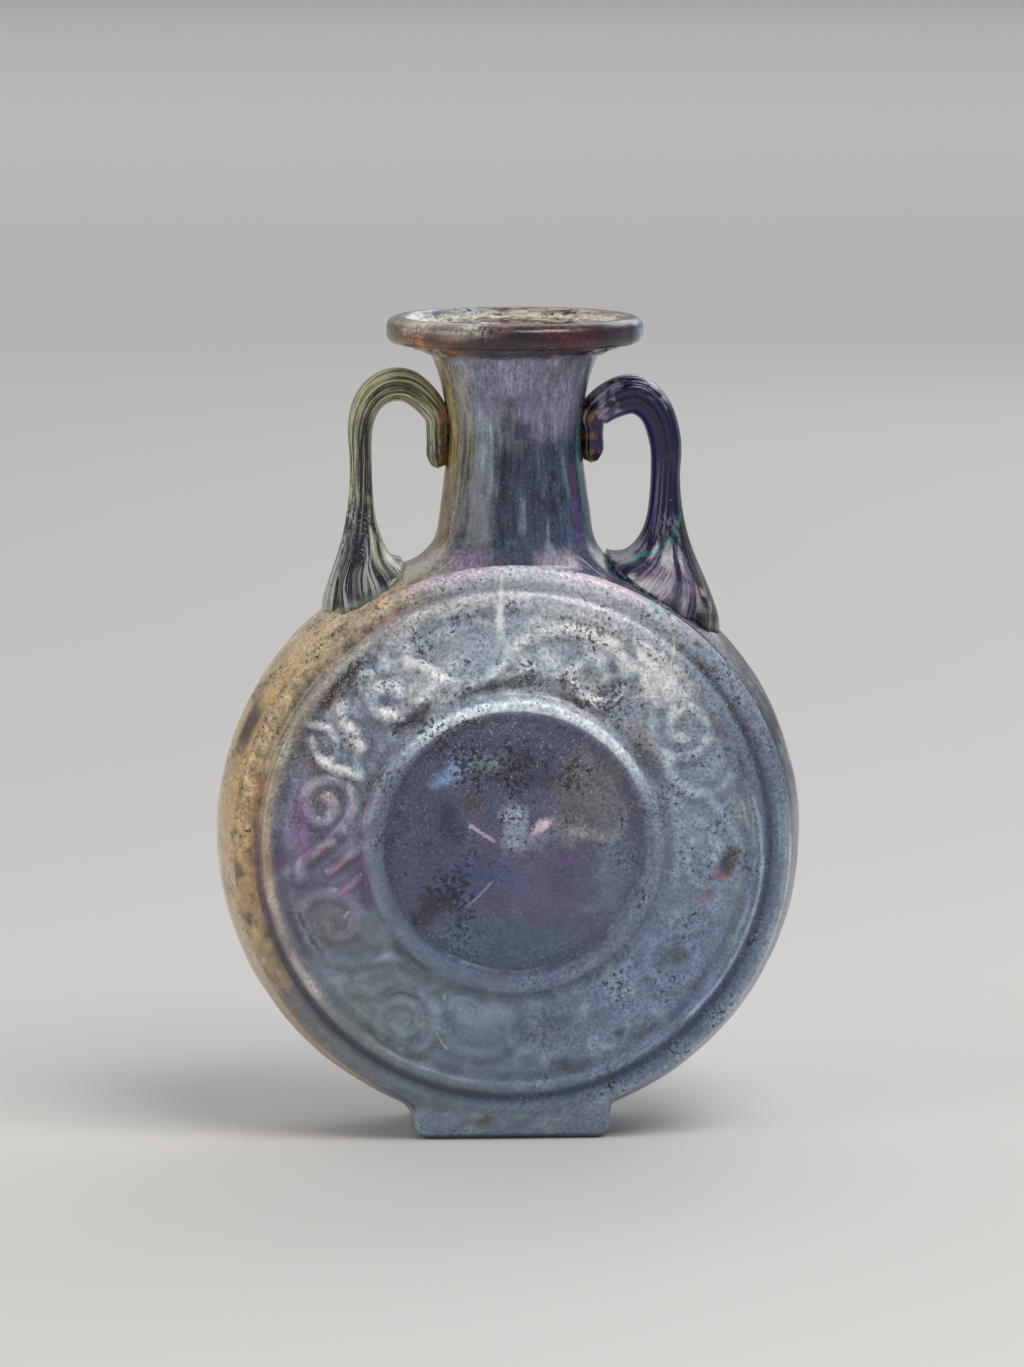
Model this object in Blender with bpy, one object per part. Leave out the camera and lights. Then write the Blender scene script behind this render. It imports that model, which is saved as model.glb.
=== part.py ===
"""Mould-blown glass pilgrim flask with two applied handles.

The body, neck, rolled rim and foot are one hollow gather of glass. Each handle is a ribbed rod of
another glass, drawn up from the shoulder and hooked onto the neck. Sizes are in metres. X is the
width, Y the depth with the decorated front at -Y, and Z is up from the foot's underside.
"""

import math
from collections import namedtuple

import bmesh
import bpy
import numpy as np
from mathutils import Vector
from mathutils.bvhtree import BVHTree
from mathutils.geometry import delaunay_2d_cdt

# Driving dimensions of the body
HEIGHT = 0.170
WALL = 0.0022
DISC_RADIUS = 0.0611
DISC_RAISE = 0.0012
FIELD_DEPTH = 0.0202
FIELD_FALL = 0.0004
MEDALLION_RADIUS = 0.0256
DOME_RISE = 0.0022
RING_WIDTH = 0.0060
RING_HEIGHT = 0.0014
BORDER_WIDTH = 0.0036
BORDER_HEIGHT = 0.0010
BORDER_INSET = 0.0065
EDGE_INSET = 0.0034
EDGE_FALL = 0.0023
GROOVE_CUT = 0.0014
GROOVE_WIDTH = 0.0023

# Driving dimensions of the foot
FOOT_HALF_WIDTH = 0.0203
FOOT_HALF_DEPTH = 0.0148
FOOT_CORNER = 0.0020
FOOT_FILLET = 0.0030
FOOT_EDGE_RISE = 0.0024
FOOT_FRONT_SWELL = 0.0020
FOOT_FLOOR = 0.0024

# Driving dimensions of the neck and its rolled rim
NECK_SHIFT = 0.0013
NECK_WAIST_RADIUS = 0.0141
NECK_WAIST_DROP = 0.0170
NECK_TOP_RADIUS = 0.0176
FLARE_HEIGHT = 0.0036
RIM_RADIUS = 0.0242
RIM_ROLL = 0.0029
RIM_FLANGE = 0.0022

# Driving dimensions of the handles: drops are from the top of the rim, turns from the top of the disc in
# degrees, and a reach is a share of the disc's radius
LEFT_CROWN_DROP = 0.0110
LEFT_HOOK_DROP = 0.0310
LEFT_REACH = 0.5025
LEFT_INNER_TURN = 21.3
LEFT_OUTER_TURN = 39.4
LEFT_CROWN_WIDTH = 0.0066
LEFT_LEG_WIDTH = 0.0043
LEFT_HOOK_WIDTH = 0.0042
RIGHT_CROWN_DROP = 0.0126
RIGHT_HOOK_DROP = 0.0300
RIGHT_REACH = 0.5336
RIGHT_INNER_TURN = 19.6
RIGHT_OUTER_TURN = 46.1
RIGHT_CROWN_WIDTH = 0.0080
RIGHT_LEG_WIDTH = 0.0060
RIGHT_HOOK_WIDTH = 0.0044
HANDLE_DEPTH = 0.0084
HANDLE_BASE_DEPTH = 0.0296
HANDLE_BASE_THICKNESS = 0.0030
HANDLE_HOOK_RISE = 0.0060
RIBS = 4
RIB_SWELL = 0.09

# How round a handle's sections are in its rod and at its base: 1 is an oval, and less is a softer box
ROD_ROUNDING = 0.85
BASE_ROUNDING = 0.64

# The vine scroll: angles from the top, clockwise, of the curls that open inward and outward in turn
CURL_ANGLES = (-41, -8, 24, 58, 95, 128, 173, 211, 247, 283)
VINE_WIDTH = 0.0031
VINE_HEIGHT = 0.0012
STEM_SWING = 0.0064
CURL_SHIFT = 0.0008
CURL_TURN_KEYS = (0.0, 0.12, 0.3, 0.75, 0.92)
CURL_RADIUS_KEYS = (0.0068, 0.0056, 0.0047, 0.0043, 0.0040)
BUD_RADIUS = 0.0023
BUD_TURN = 12.5

# Clearance that each handle keeps to the body
HANDLE_GAP = 0.0003

# Mesh fineness: columns round the disc, and steps between the points that carry the scroll
COLUMNS = 60
INNER_COLUMNS = 30
NECK_HALF_COLUMNS = 4
FRONT_STEP = 0.0022
BACK_STEP = 0.0031
HANDLE_SIDES = 16
STATION_GAP = 0.0052

DISC_CENTRE_Z = DISC_RADIUS + DISC_RAISE
EDGE_RADIUS = DISC_RADIUS - EDGE_INSET
GROOVE_RADIUS = EDGE_RADIUS - GROOVE_CUT
BORDER_RADIUS = EDGE_RADIUS - BORDER_INSET
EDGE_DEPTH = FIELD_DEPTH - EDGE_FALL
GROOVE_DEPTH = EDGE_DEPTH - 0.45 * GROOVE_WIDTH
BAND_DEPTH = EDGE_DEPTH - GROOVE_WIDTH
BAND_FALL = EDGE_INSET - 0.15 * GROOVE_CUT
RING_INNER = MEDALLION_RADIUS
RING_OUTER = MEDALLION_RADIUS + RING_WIDTH
FIELD_OUTER = BORDER_RADIUS - 0.5 * BORDER_WIDTH
STEM_RADIUS = 0.5 * (RING_OUTER + FIELD_OUTER)
SHOULDER_Z = DISC_CENTRE_Z + GROOVE_RADIUS
NECK_BASE_RADIUS = GROOVE_DEPTH
RIM_BASE_Z = HEIGHT - 2.0 * RIM_ROLL - RIM_FLANGE
WAIST_Z = RIM_BASE_Z - NECK_WAIST_DROP

# Angles up from the bottom of the disc, in degrees, where the foot's outline changes
FOOT_FLAT_END = 18.0
FOOT_CORNER_END = 30.0
FOOT_FILLET_MIDDLE = 36.0
FOOT_FILLET_END = 42.0
FOOT_SPREAD = 84.0

Row = namedtuple("Row", "radius depth shear foot rise foot_depth half_width", defaults=(0.0,) * 5)
Handle = namedtuple("Handle", "name side crown_drop hook_drop reach inner_turn outer_turn crown leg hook")

HANDLES = (
    Handle("left_handle", -1, LEFT_CROWN_DROP, LEFT_HOOK_DROP, LEFT_REACH * DISC_RADIUS, LEFT_INNER_TURN,
           LEFT_OUTER_TURN, LEFT_CROWN_WIDTH, LEFT_LEG_WIDTH, LEFT_HOOK_WIDTH),
    Handle("right_handle", 1, RIGHT_CROWN_DROP, RIGHT_HOOK_DROP, RIGHT_REACH * DISC_RADIUS, RIGHT_INNER_TURN,
           RIGHT_OUTER_TURN, RIGHT_CROWN_WIDTH, RIGHT_LEG_WIDTH, RIGHT_HOOK_WIDTH),
)


def clear_scene():
    """Remove every object that is already there."""
    for old in list(bpy.data.objects):
        bpy.data.objects.remove(old, do_unlink=True)


def glass(name, colour, roughness, transmission):
    """Principled material of one glass."""
    material = bpy.data.materials.new(name)
    material.use_nodes = True
    shader = material.node_tree.nodes["Principled BSDF"]
    shader.inputs["Base Color"].default_value = (*colour, 1.0)
    shader.inputs["Roughness"].default_value = roughness
    shader.inputs["Metallic"].default_value = 0.0
    shader.inputs["Transmission Weight"].default_value = transmission
    return material


def mix(a, b, share):
    """Value at a share of the way from a to b."""
    return a + (b - a) * share


def ease(share):
    """Share from 0 to 1 that starts and stops softly."""
    share = min(max(share, 0.0), 1.0)
    return share * share * (3.0 - 2.0 * share)


class Skin:
    """Points and faces that are collected loop by loop into one mesh."""

    def __init__(self):
        self.points = []
        self.faces = []

    def point(self, position):
        self.points.append(Vector(position))
        return len(self.points) - 1

    def loop(self, positions):
        return [self.point(position) for position in positions]

    def bridge(self, near, far):
        """Quads between two closed loops of the same count."""
        for k in range(len(near)):
            after = (k + 1) % len(near)
            self.faces.append((near[k], near[after], far[after], far[k]))

    def bridge_halved(self, fine, coarse):
        """Triangles between a closed loop and one with half as many points."""
        for k in range(len(coarse)):
            after = (k + 1) % len(coarse)
            middle = fine[2 * k + 1]
            self.faces.append((fine[2 * k], middle, coarse[k]))
            self.faces.append((middle, coarse[after], coarse[k]))
            self.faces.append((middle, fine[(2 * k + 2) % len(fine)], coarse[after]))

    def fan(self, centre, around):
        """Triangles from one point to a closed loop."""
        for k in range(len(around)):
            self.faces.append((centre, around[k], around[(k + 1) % len(around)]))

    def to_bmesh(self):
        """Closed mesh whose faces point outward."""
        mesh = bmesh.new()
        corners = [mesh.verts.new(point) for point in self.points]
        for face in self.faces:
            mesh.faces.new([corners[k] for k in face])
        bmesh.ops.recalc_face_normals(mesh, faces=mesh.faces)
        mesh.verts.index_update()
        return mesh


def add_object(name, mesh, material, sharp_angle):
    """Scene object made from a bmesh, shaded smooth."""
    data = bpy.data.meshes.new(name)
    mesh.to_mesh(data)
    mesh.free()
    data.materials.append(material)
    data.shade_smooth()
    data.set_sharp_from_angle(angle=math.radians(sharp_angle))
    thing = bpy.data.objects.new(name, data)
    bpy.context.scene.collection.objects.link(thing)
    return thing


# The vine scroll

def stem_radius(phase):
    """Radius of the running stem, farthest out over an even curl."""
    return STEM_RADIUS + STEM_SWING * math.cos(phase)


def polar(angle, radius):
    """Point of the face at an angle in degrees clockwise from the top, measured from the disc's centre."""
    return np.array((radius * math.sin(math.radians(angle)), radius * math.cos(math.radians(angle))))


def local_frame(angle, radius):
    """Origin on the face with unit vectors along the frieze and outward from its centre."""
    turn = math.radians(angle)
    along = np.array((math.cos(turn), -math.sin(turn)))
    outward = np.array((math.sin(turn), math.cos(turn)))
    return polar(angle, radius), along, outward


def stem_line():
    """The closed running stem of the vine."""
    points = []
    count = len(CURL_ANGLES)
    for k in range(count):
        start = CURL_ANGLES[k]
        gap = (CURL_ANGLES[(k + 1) % count] - start) % 360
        points += [polar(start + gap * f, stem_radius(math.pi * (k + f))) for f in np.arange(0.0, 1.0, 0.05)]
    return points + points[:1]


def curl_frame(number):
    """Middle of a curl, the direction along the frieze there and the one toward the curl's own bend."""
    facing = 1 if number % 2 == 0 else -1
    centre, along, outward = local_frame(CURL_ANGLES[number], STEM_RADIUS - facing * CURL_SHIFT)
    return centre, along, facing * outward


def curl_line(number):
    """One curl that leaves the stem and winds round in its bend."""
    centre, along, outward = curl_frame(number)
    points = []
    for turns in np.arange(0.0, CURL_TURN_KEYS[-1], 0.04):
        turn = math.radians(80.0) - turns * 2.0 * math.pi
        size = np.interp(turns, CURL_TURN_KEYS, CURL_RADIUS_KEYS)
        points.append(centre + size * (math.cos(turn) * along + math.sin(turn) * outward))
    return points


def bud_centres(number):
    """Middles of the two buds in the corners beside a curl that opens outward."""
    radius = FIELD_OUTER - 1.6 * BUD_RADIUS
    return [local_frame(CURL_ANGLES[number] + turn, radius)[0] for turn in (-BUD_TURN, BUD_TURN)]


def vine_marks(full):
    """Centre-lines of the scroll's ridges, and its round marks as a middle and a radius.

    The plainer scroll has the stem and its curls alone.
    """
    count = len(CURL_ANGLES)
    lines = [stem_line()] + [curl_line(k) for k in range(count)]
    dots = [(curl_frame(k)[0], 0.0) for k in range(count)]
    if full:
        for k in range(0, count, 2):
            dots += [(centre, BUD_RADIUS) for centre in bud_centres(k + 1)]
    return lines, dots


def resample(line, step):
    """Points at an even step along a line."""
    line = np.array(line)
    lengths = np.concatenate(([0.0], np.cumsum(np.linalg.norm(np.diff(line, axis=0), axis=1))))
    count = max(2, int(round(lengths[-1] / step)) + 1)
    places = np.linspace(0.0, lengths[-1], count)
    return np.column_stack([np.interp(places, lengths, line[:, axis]) for axis in (0, 1)])


class Scroll:
    """Points of the frieze with their heights: crests, the feet of the ridges, then the field between."""

    def __init__(self, rims):
        self.points = list(rims)
        self.heights = [0.0] * len(self.points)
        self.creases = []

    def add(self, place, height, spacing):
        """Take a point that keeps its distance. It returns that point, or the crest that it would crowd."""
        distances = np.linalg.norm(np.array(self.points) - place, axis=1)
        nearest = int(distances.argmin())
        margin = 0.4 * spacing
        inside = RING_OUTER + margin < np.linalg.norm(place) < FIELD_OUTER - margin
        if inside and distances[nearest] >= spacing:
            self.points.append(place)
            self.heights.append(height)
            return len(self.points) - 1
        return nearest if inside and self.heights[nearest] else None

    def follow(self, track, spacing):
        """Crest along a line, with the edges that join its points."""
        added = [self.add(place, VINE_HEIGHT, spacing) for place in track]
        self.creases += [pair for pair in zip(added, added[1:]) if None not in pair and pair[0] != pair[1]]


def scroll_points(lines, dots, step, rims):
    """Scroll of a frieze whose two rims are given."""
    half_width = 0.5 * VINE_WIDTH
    traced = [resample(line, 0.25 * VINE_WIDTH) for line in lines]
    marks = np.vstack(traced + [[centre] for centre, _ in dots])
    scroll = Scroll(rims)

    def clearance(place):
        return np.linalg.norm(marks - place, axis=1).min()

    tracks = [resample(line, step) for line in lines]
    for track in tracks:
        scroll.follow(track, 0.7 * step)
    for centre, _ in dots:
        scroll.add(centre, VINE_HEIGHT, 0.7 * step)
    for track in tracks:
        slope = np.gradient(track, axis=0)
        normal = np.column_stack((-slope[:, 1], slope[:, 0])) / np.linalg.norm(slope, axis=1)[:, None]
        for offset in (-half_width, half_width):
            for place in track + offset * normal:
                if clearance(place) > 0.86 * half_width:
                    scroll.add(place, 0.0, 0.5 * step)
    for centre, radius in dots:
        for turn in range(0, 360, 60):
            if radius:
                scroll.add(centre + polar(turn, radius), 0.0, 0.5 * step)
    for radius in np.linspace(RING_OUTER, FIELD_OUTER, 7)[1:-1]:
        for turn in np.arange(0.0, 360.0, 5.0):
            place = polar(turn, radius)
            if clearance(place) > half_width + 0.4 * step:
                scroll.add(place, 0.0, step)
    return scroll


def fill_frieze(skin, side, inner_loop, outer_loop, marks, step):
    """Join the ring and the border with triangles that carry the scroll."""
    indices = inner_loop + outer_loop
    inner_count = len(inner_loop)
    places = [skin.points[index] for index in indices]
    scroll = scroll_points(*marks, step, [np.array((place.x, place.z - DISC_CENTRE_Z)) for place in places])
    edges = scroll.creases
    for first, count in ((0, inner_count), (inner_count, len(outer_loop))):
        edges += [(first + k, first + (k + 1) % count) for k in range(count)]
    corners = [Vector(place) for place in scroll.points]
    found_points, _, triangles, origins, _, _ = delaunay_2d_cdt(corners, edges, [], 0, 1e-9)
    known = {}
    for k, place in enumerate(found_points):
        origin = origins[k][0] if origins[k] else None
        if origin is not None and origin < len(indices):
            known[k] = indices[origin]
            continue
        height = VINE_HEIGHT if origin is None else scroll.heights[origin]
        depth = field_depth(place.length) + height
        known[k] = skin.point((place.x, side * depth, place.y + DISC_CENTRE_Z))
    hole = set(inner_loop)
    for triangle in triangles:
        corners = tuple(known[k] for k in triangle)
        if not hole.issuperset(corners):
            skin.faces.append(corners)


# The disc, in rows that run round its centre

def field_depth(radius):
    """Half thickness of the body at the plain field of the frieze."""
    share = (radius - RING_OUTER) / (FIELD_OUTER - RING_OUTER)
    return FIELD_DEPTH - FIELD_FALL * share


def dome_depth(radius):
    """Half thickness of the body over the medallion's swell."""
    share = radius / RING_OUTER
    return FIELD_DEPTH + DOME_RISE * max(0.0, 1.0 - share * share)


def foot_outline(radius, rise, half_width, below):
    """Outline of a row round the bottom: flat, corner, wall, fillet and then its own circle.

    below is the angle from the bottom in degrees. It returns the polar angle and radius.
    """
    contact = DISC_CENTRE_Z - math.sqrt(radius ** 2 - half_width ** 2)
    corner = min(FOOT_CORNER, 0.36 * (contact - rise))
    fillet = min(FOOT_FILLET, 0.60 * (contact - rise))
    fillet_x = half_width + fillet
    fillet_z = DISC_CENTRE_Z - math.sqrt((radius + fillet) ** 2 - fillet_x ** 2)
    meet = math.atan2(fillet_x, DISC_CENTRE_Z - fillet_z)
    flat = half_width - corner
    if below <= FOOT_FLAT_END:
        x, z = flat * below / FOOT_FLAT_END, rise
    elif below <= FOOT_CORNER_END:
        turn = 0.5 * math.pi * (below - FOOT_FLAT_END) / (FOOT_CORNER_END - FOOT_FLAT_END)
        x, z = flat + corner * math.sin(turn), rise + corner * (1.0 - math.cos(turn))
    elif below <= FOOT_FILLET_END:
        share = (below - FOOT_FILLET_MIDDLE) / (FOOT_FILLET_END - FOOT_FILLET_MIDDLE)
        wall_share = (below - FOOT_CORNER_END) / (FOOT_FILLET_MIDDLE - FOOT_CORNER_END)
        half_turn = 0.5 * (0.5 * math.pi - meet)
        turn = half_turn * (1.0 + share) if share >= 0.0 else half_turn * wall_share
        wall_foot = min(rise + corner, fillet_z)
        wall = fillet_z if share >= 0.0 else mix(wall_foot, fillet_z, wall_share)
        x, z = fillet_x - fillet * math.cos(turn), wall + fillet * math.sin(turn)
    else:
        share = (below - FOOT_FILLET_END) / (FOOT_SPREAD - FOOT_FILLET_END)
        return mix(meet, math.radians(FOOT_SPREAD), share), radius
    return math.atan2(x, DISC_CENTRE_Z - z), math.hypot(x, DISC_CENTRE_Z - z)


def disc_point(row, angle, side):
    """Point of a row at an angle in degrees clockwise from the top; side is -1 at the front."""
    below = 180.0 - angle % 360.0
    radius = row.radius
    depth = row.depth
    polar_angle = math.radians(abs(below))
    if row.shear and abs(below) < FOOT_SPREAD:
        foot_angle, foot_radius = foot_outline(radius, row.rise, row.half_width, abs(below))
        polar_angle = mix(polar_angle, foot_angle, row.shear)
        radius = mix(radius, foot_radius, row.foot)
        near = 1.0 - ease((abs(below) - FOOT_CORNER_END) / (FOOT_FILLET_END - FOOT_CORNER_END))
        depth = mix(depth, row.foot_depth, row.foot * near)
    x = math.copysign(radius * math.sin(polar_angle), below)
    return Vector((x, side * depth, DISC_CENTRE_Z - radius * math.cos(polar_angle)))


def row_loop(skin, row, side, columns):
    """Closed loop of one row, clockwise from the top."""
    return skin.loop([disc_point(row, 360.0 * k / columns, side) for k in range(columns)])


def edge_row(radius, depth, shear, foot):
    """Row of the plate's border, which runs down into the front of the foot."""
    half_width = FOOT_HALF_WIDTH - 0.3 * FOOT_FRONT_SWELL
    return Row(radius, depth, shear, foot, FOOT_EDGE_RISE, FOOT_HALF_DEPTH + FOOT_FRONT_SWELL, half_width)


def face_rows():
    """Rows of the ring and of the border, from the medallion outward."""
    ring = [Row(RING_INNER, dome_depth(RING_INNER) - 0.15 * RING_HEIGHT)]
    for share, rise in ((0.30, 0.60), (0.58, 1.0), (0.85, 0.55)):
        radius = RING_INNER + share * RING_WIDTH
        ring.append(Row(radius, dome_depth(radius) + rise * RING_HEIGHT))
    ring.append(Row(RING_OUTER, field_depth(RING_OUTER)))
    field = field_depth(FIELD_OUTER)
    inset = BORDER_INSET
    border = [
        Row(FIELD_OUTER, field),
        edge_row(BORDER_RADIUS, field + BORDER_HEIGHT, 0.18, 0.0),
        edge_row(BORDER_RADIUS + 0.28 * inset, field - 0.6 * BORDER_HEIGHT, 0.40, 0.0),
        edge_row(BORDER_RADIUS + 0.60 * inset, field - 0.3 * BORDER_HEIGHT, 0.66, 0.0),
        edge_row(BORDER_RADIUS + 0.88 * inset, field - 0.9 * BORDER_HEIGHT, 0.90, 0.12),
        edge_row(EDGE_RADIUS, EDGE_DEPTH, 1.0, 1.0),
    ]
    return ring, border


def band_radius(depth):
    """Radius of the side band, widest at the mould seam."""
    return DISC_RADIUS - BAND_FALL * (depth / BAND_DEPTH) ** 2


def side_rows():
    """Rows of one half of the side, from the groove to just before the seam."""
    foot_depth = FOOT_HALF_DEPTH + 0.6 * FOOT_FRONT_SWELL
    half_width = FOOT_HALF_WIDTH - 0.1 * FOOT_FRONT_SWELL
    rows = [Row(GROOVE_RADIUS, GROOVE_DEPTH, 1.0, 1.0, 0.3 * FOOT_EDGE_RISE, foot_depth, half_width)]
    for share in (1.0, 0.74, 0.40):
        depth = share * BAND_DEPTH
        rows.append(Row(band_radius(depth), depth, 1.0, 1.0, 0.0, share * FOOT_HALF_DEPTH, FOOT_HALF_WIDTH))
    return rows


def seam_row():
    """Row at the middle of the side."""
    return Row(DISC_RADIUS, 0.0, 1.0, 1.0, 0.0, 0.0, FOOT_HALF_WIDTH)


def close_centre(skin, inner_loop, side, dome, radii):
    """Rows of half as many points over the medallion, closed at its centre."""
    loops = [inner_loop]
    for radius in radii:
        ring = Row(radius, dome(radius))
        loops.append(row_loop(skin, ring, side, len(inner_loop) // 2))
    skin.bridge_halved(loops[0], loops[1])
    for near, far in zip(loops[1:], loops[2:]):
        skin.bridge(near, far)
    skin.fan(skin.point((0.0, side * dome(0.0), DISC_CENTRE_Z)), loops[-1])


def outer_face(skin, side, marks, step):
    """One decorated face of the body. It returns the loop along its edge."""
    ring, border = face_rows()
    ring_loops = [row_loop(skin, row, side, COLUMNS) for row in ring]
    border_loops = [row_loop(skin, row, side, COLUMNS) for row in border]
    close_centre(skin, ring_loops[0], side, dome_depth, (0.68 * RING_INNER, 0.34 * RING_INNER))
    for loops in (ring_loops, border_loops):
        for near, far in zip(loops, loops[1:]):
            skin.bridge(near, far)
    fill_frieze(skin, side, ring_loops[-1], border_loops[0], marks, step)
    return border_loops[-1]


def band_with_opening(skin, loops, half):
    """Bridge the side rows and leave out the patch at the top. It returns the patch's border."""
    columns = len(loops[0])
    for near, far in zip(loops, loops[1:]):
        for k in range(half, columns - half):
            after = (k + 1) % columns
            skin.faces.append((near[k], near[after], far[after], far[k]))
    front = [loops[0][k % columns] for k in range(-half, half + 1)]
    back = [loops[-1][k % columns] for k in range(half, -half - 1, -1)]
    right = [loop[half] for loop in loops[1:-1]]
    left = [loop[-half % columns] for loop in reversed(loops[1:-1])]
    return front + right + back + left


# The neck, which grows out of the opening in the side

def neck_radius(z):
    """Outer radius of the neck at a height."""
    if z < WAIST_Z:
        share = (WAIST_Z - z) / (WAIST_Z - SHOULDER_Z - FLARE_HEIGHT)
        return mix(NECK_WAIST_RADIUS, NECK_BASE_RADIUS, min(share, 1.0) ** 1.3)
    share = (z - WAIST_Z) / (RIM_BASE_Z - WAIST_Z)
    return mix(NECK_WAIST_RADIUS, NECK_TOP_RADIUS, min(share, 1.0) ** 1.9)


def neck_loop(skin, border, half, spread, z, radius):
    """Loop of the neck; spread is the share of the opening's own shape that it still has."""
    count = len(border)
    positions = []
    for k, index in enumerate(border):
        base = skin.points[index]
        even = 2.0 * math.pi * (k - half) / count
        own = math.atan2(base.x, -base.y)
        own += 2.0 * math.pi * round((even - own) / (2.0 * math.pi))
        turn = mix(even, own, min(1.0, 1.6 * spread))
        round_x = NECK_SHIFT + radius * math.sin(turn)
        round_y = -radius * math.cos(turn)
        positions.append((mix(round_x, base.x, spread), mix(round_y, base.y, spread), mix(z, base.z, spread)))
    return skin.loop(positions)


def grow_neck(skin, border, half, wall, shares):
    """Neck from the opening up to the rim's base. It returns its top loop."""
    foot_z = SHOULDER_Z + FLARE_HEIGHT
    last = border
    for spread, lift in ((0.42, 0.42), (0.14, 0.97)):
        radius = NECK_BASE_RADIUS + 0.06 * FLARE_HEIGHT - wall
        loop = neck_loop(skin, border, half, spread, SHOULDER_Z + lift * FLARE_HEIGHT - 0.36 * wall, radius)
        skin.bridge(last, loop)
        last = loop
    for share in shares:
        z = mix(foot_z + 0.78 * FLARE_HEIGHT, RIM_BASE_Z, share)
        loop = neck_loop(skin, border, half, 0.0, z, neck_radius(z) - wall)
        skin.bridge(last, loop)
        last = loop
    return last


def rim_profile():
    """Radius and height round the flange and its roll, from under it to the mouth's funnel."""
    roll_z = HEIGHT - RIM_ROLL
    profile = [(mix(NECK_TOP_RADIUS, RIM_RADIUS - RIM_ROLL, 0.72), RIM_BASE_Z + 0.72 * RIM_FLANGE)]
    for turn in (-112, -66, -22, 22, 58, 90, 128):
        profile.append((RIM_RADIUS + RIM_ROLL * math.cos(math.radians(turn)),
                        roll_z + RIM_ROLL * math.sin(math.radians(turn))))
    profile.append((NECK_TOP_RADIUS + 0.28 * RIM_ROLL, roll_z - 0.1 * RIM_ROLL))
    return profile


def build_body():
    """The hollow body with its neck, rim and foot. It returns the object and a search tree of its outside."""
    skin = Skin()
    front_edge = outer_face(skin, -1, vine_marks(True), FRONT_STEP)
    back_edge = outer_face(skin, 1, vine_marks(False), BACK_STEP)
    front_side = [row_loop(skin, row, -1, COLUMNS) for row in side_rows()]
    back_side = [row_loop(skin, row, 1, COLUMNS) for row in side_rows()]
    skin.bridge(front_edge, front_side[0])
    skin.bridge(back_edge, back_side[0])
    seam = row_loop(skin, seam_row(), 1, COLUMNS)
    opening = band_with_opening(skin, front_side + [seam] + back_side[::-1], NECK_HALF_COLUMNS)
    last = grow_neck(skin, opening, NECK_HALF_COLUMNS, 0.0, (0.0, 0.17, 0.34, 0.51, 0.66, 0.80, 0.91, 1.0))
    for radius, z in rim_profile():
        loop = neck_loop(skin, opening, NECK_HALF_COLUMNS, 0.0, z, radius)
        skin.bridge(last, loop)
        last = loop
    outer_count = len(skin.points)
    inner_top = build_inside(skin)
    skin.bridge_halved(last, inner_top)
    mesh = skin.to_bmesh()
    outside = [[v.index for v in face.verts] for face in mesh.faces
               if all(v.index < outer_count for v in face.verts)]
    tree = BVHTree.FromPolygons(skin.points, outside)
    body = add_object("flask_body", mesh, glass("body_glass", (0.20, 0.26, 0.36), 0.32, 0.45), 80)
    return body, tree


def inside_rows():
    """Rows of the inner face, from the medallion to just before the seam."""
    rise = FOOT_FLOOR
    foot_depth = FOOT_HALF_DEPTH + 0.6 * FOOT_FRONT_SWELL - WALL
    half_width = FOOT_HALF_WIDTH - WALL
    field = FIELD_DEPTH - WALL
    groove_radius = GROOVE_RADIUS - 0.3 * GROOVE_CUT
    groove_depth = GROOVE_DEPTH - 1.5 * WALL
    band = 0.5 * BAND_DEPTH
    return [
        Row(RING_OUTER + 0.5 * RING_WIDTH, field),
        Row(BORDER_RADIUS - 0.5 * BORDER_WIDTH, field - 1.4 * FIELD_FALL),
        Row(BORDER_RADIUS + 0.4 * BORDER_INSET, field - 0.86 * WALL, 0.5, 0.3, rise, foot_depth, half_width),
        Row(groove_radius, groove_depth, 1.0, 1.0, rise, foot_depth - 0.64 * WALL, half_width),
        Row(band_radius(band) - WALL, band, 1.0, 1.0, rise, 0.5 * FOOT_HALF_DEPTH, half_width),
    ]


def build_inside(skin):
    """The inner skin, with no scroll on it. It returns the loop at the top of the inner neck."""
    half = NECK_HALF_COLUMNS // 2
    under_ring = 0.55 * RING_OUTER
    sides = []
    for side in (-1, 1):
        loops = [row_loop(skin, row, side, INNER_COLUMNS) for row in inside_rows()]
        for near, far in zip(loops[:3], loops[1:4]):
            skin.bridge(near, far)
        middle = row_loop(skin, Row(under_ring, dome_depth(under_ring) - WALL), side, INNER_COLUMNS)
        skin.bridge(loops[0], middle)
        skin.fan(skin.point((0.0, side * (dome_depth(0.0) - WALL), DISC_CENTRE_Z)), middle)
        sides.append(loops[3:])
    middle_row = Row(DISC_RADIUS - WALL, 0.0, 1.0, 1.0, FOOT_FLOOR, 0.0, FOOT_HALF_WIDTH - WALL)
    seam = row_loop(skin, middle_row, 1, INNER_COLUMNS)
    opening = band_with_opening(skin, sides[0] + [seam] + sides[1][::-1], half)
    return grow_neck(skin, opening, half, WALL, (0.0, 0.28, 0.55, 0.78, 0.97))


# The handles

def smooth_path(points):
    """Smooth curve through a few places with their widths, with a station at each and one between."""
    keys = np.array(points)
    ends = np.vstack((2 * keys[0] - keys[1], keys, 2 * keys[-1] - keys[-2]))
    path = []
    for k in range(len(keys) - 1):
        before, start, stop, after = ends[k:k + 4]
        between = keys[k + 1] - keys[k]
        shares = (0.0, 0.5) if math.hypot(between[0], between[1]) > STATION_GAP else (0.0,)
        for t in shares:
            bend = 2 * before - 5 * start + 4 * stop - after
            twist = 3 * start - before - 3 * stop + after
            path.append(0.5 * (2 * start + (stop - before) * t + bend * t ** 2 + twist * t ** 3))
    return np.array(path + [keys[-1]])


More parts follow.
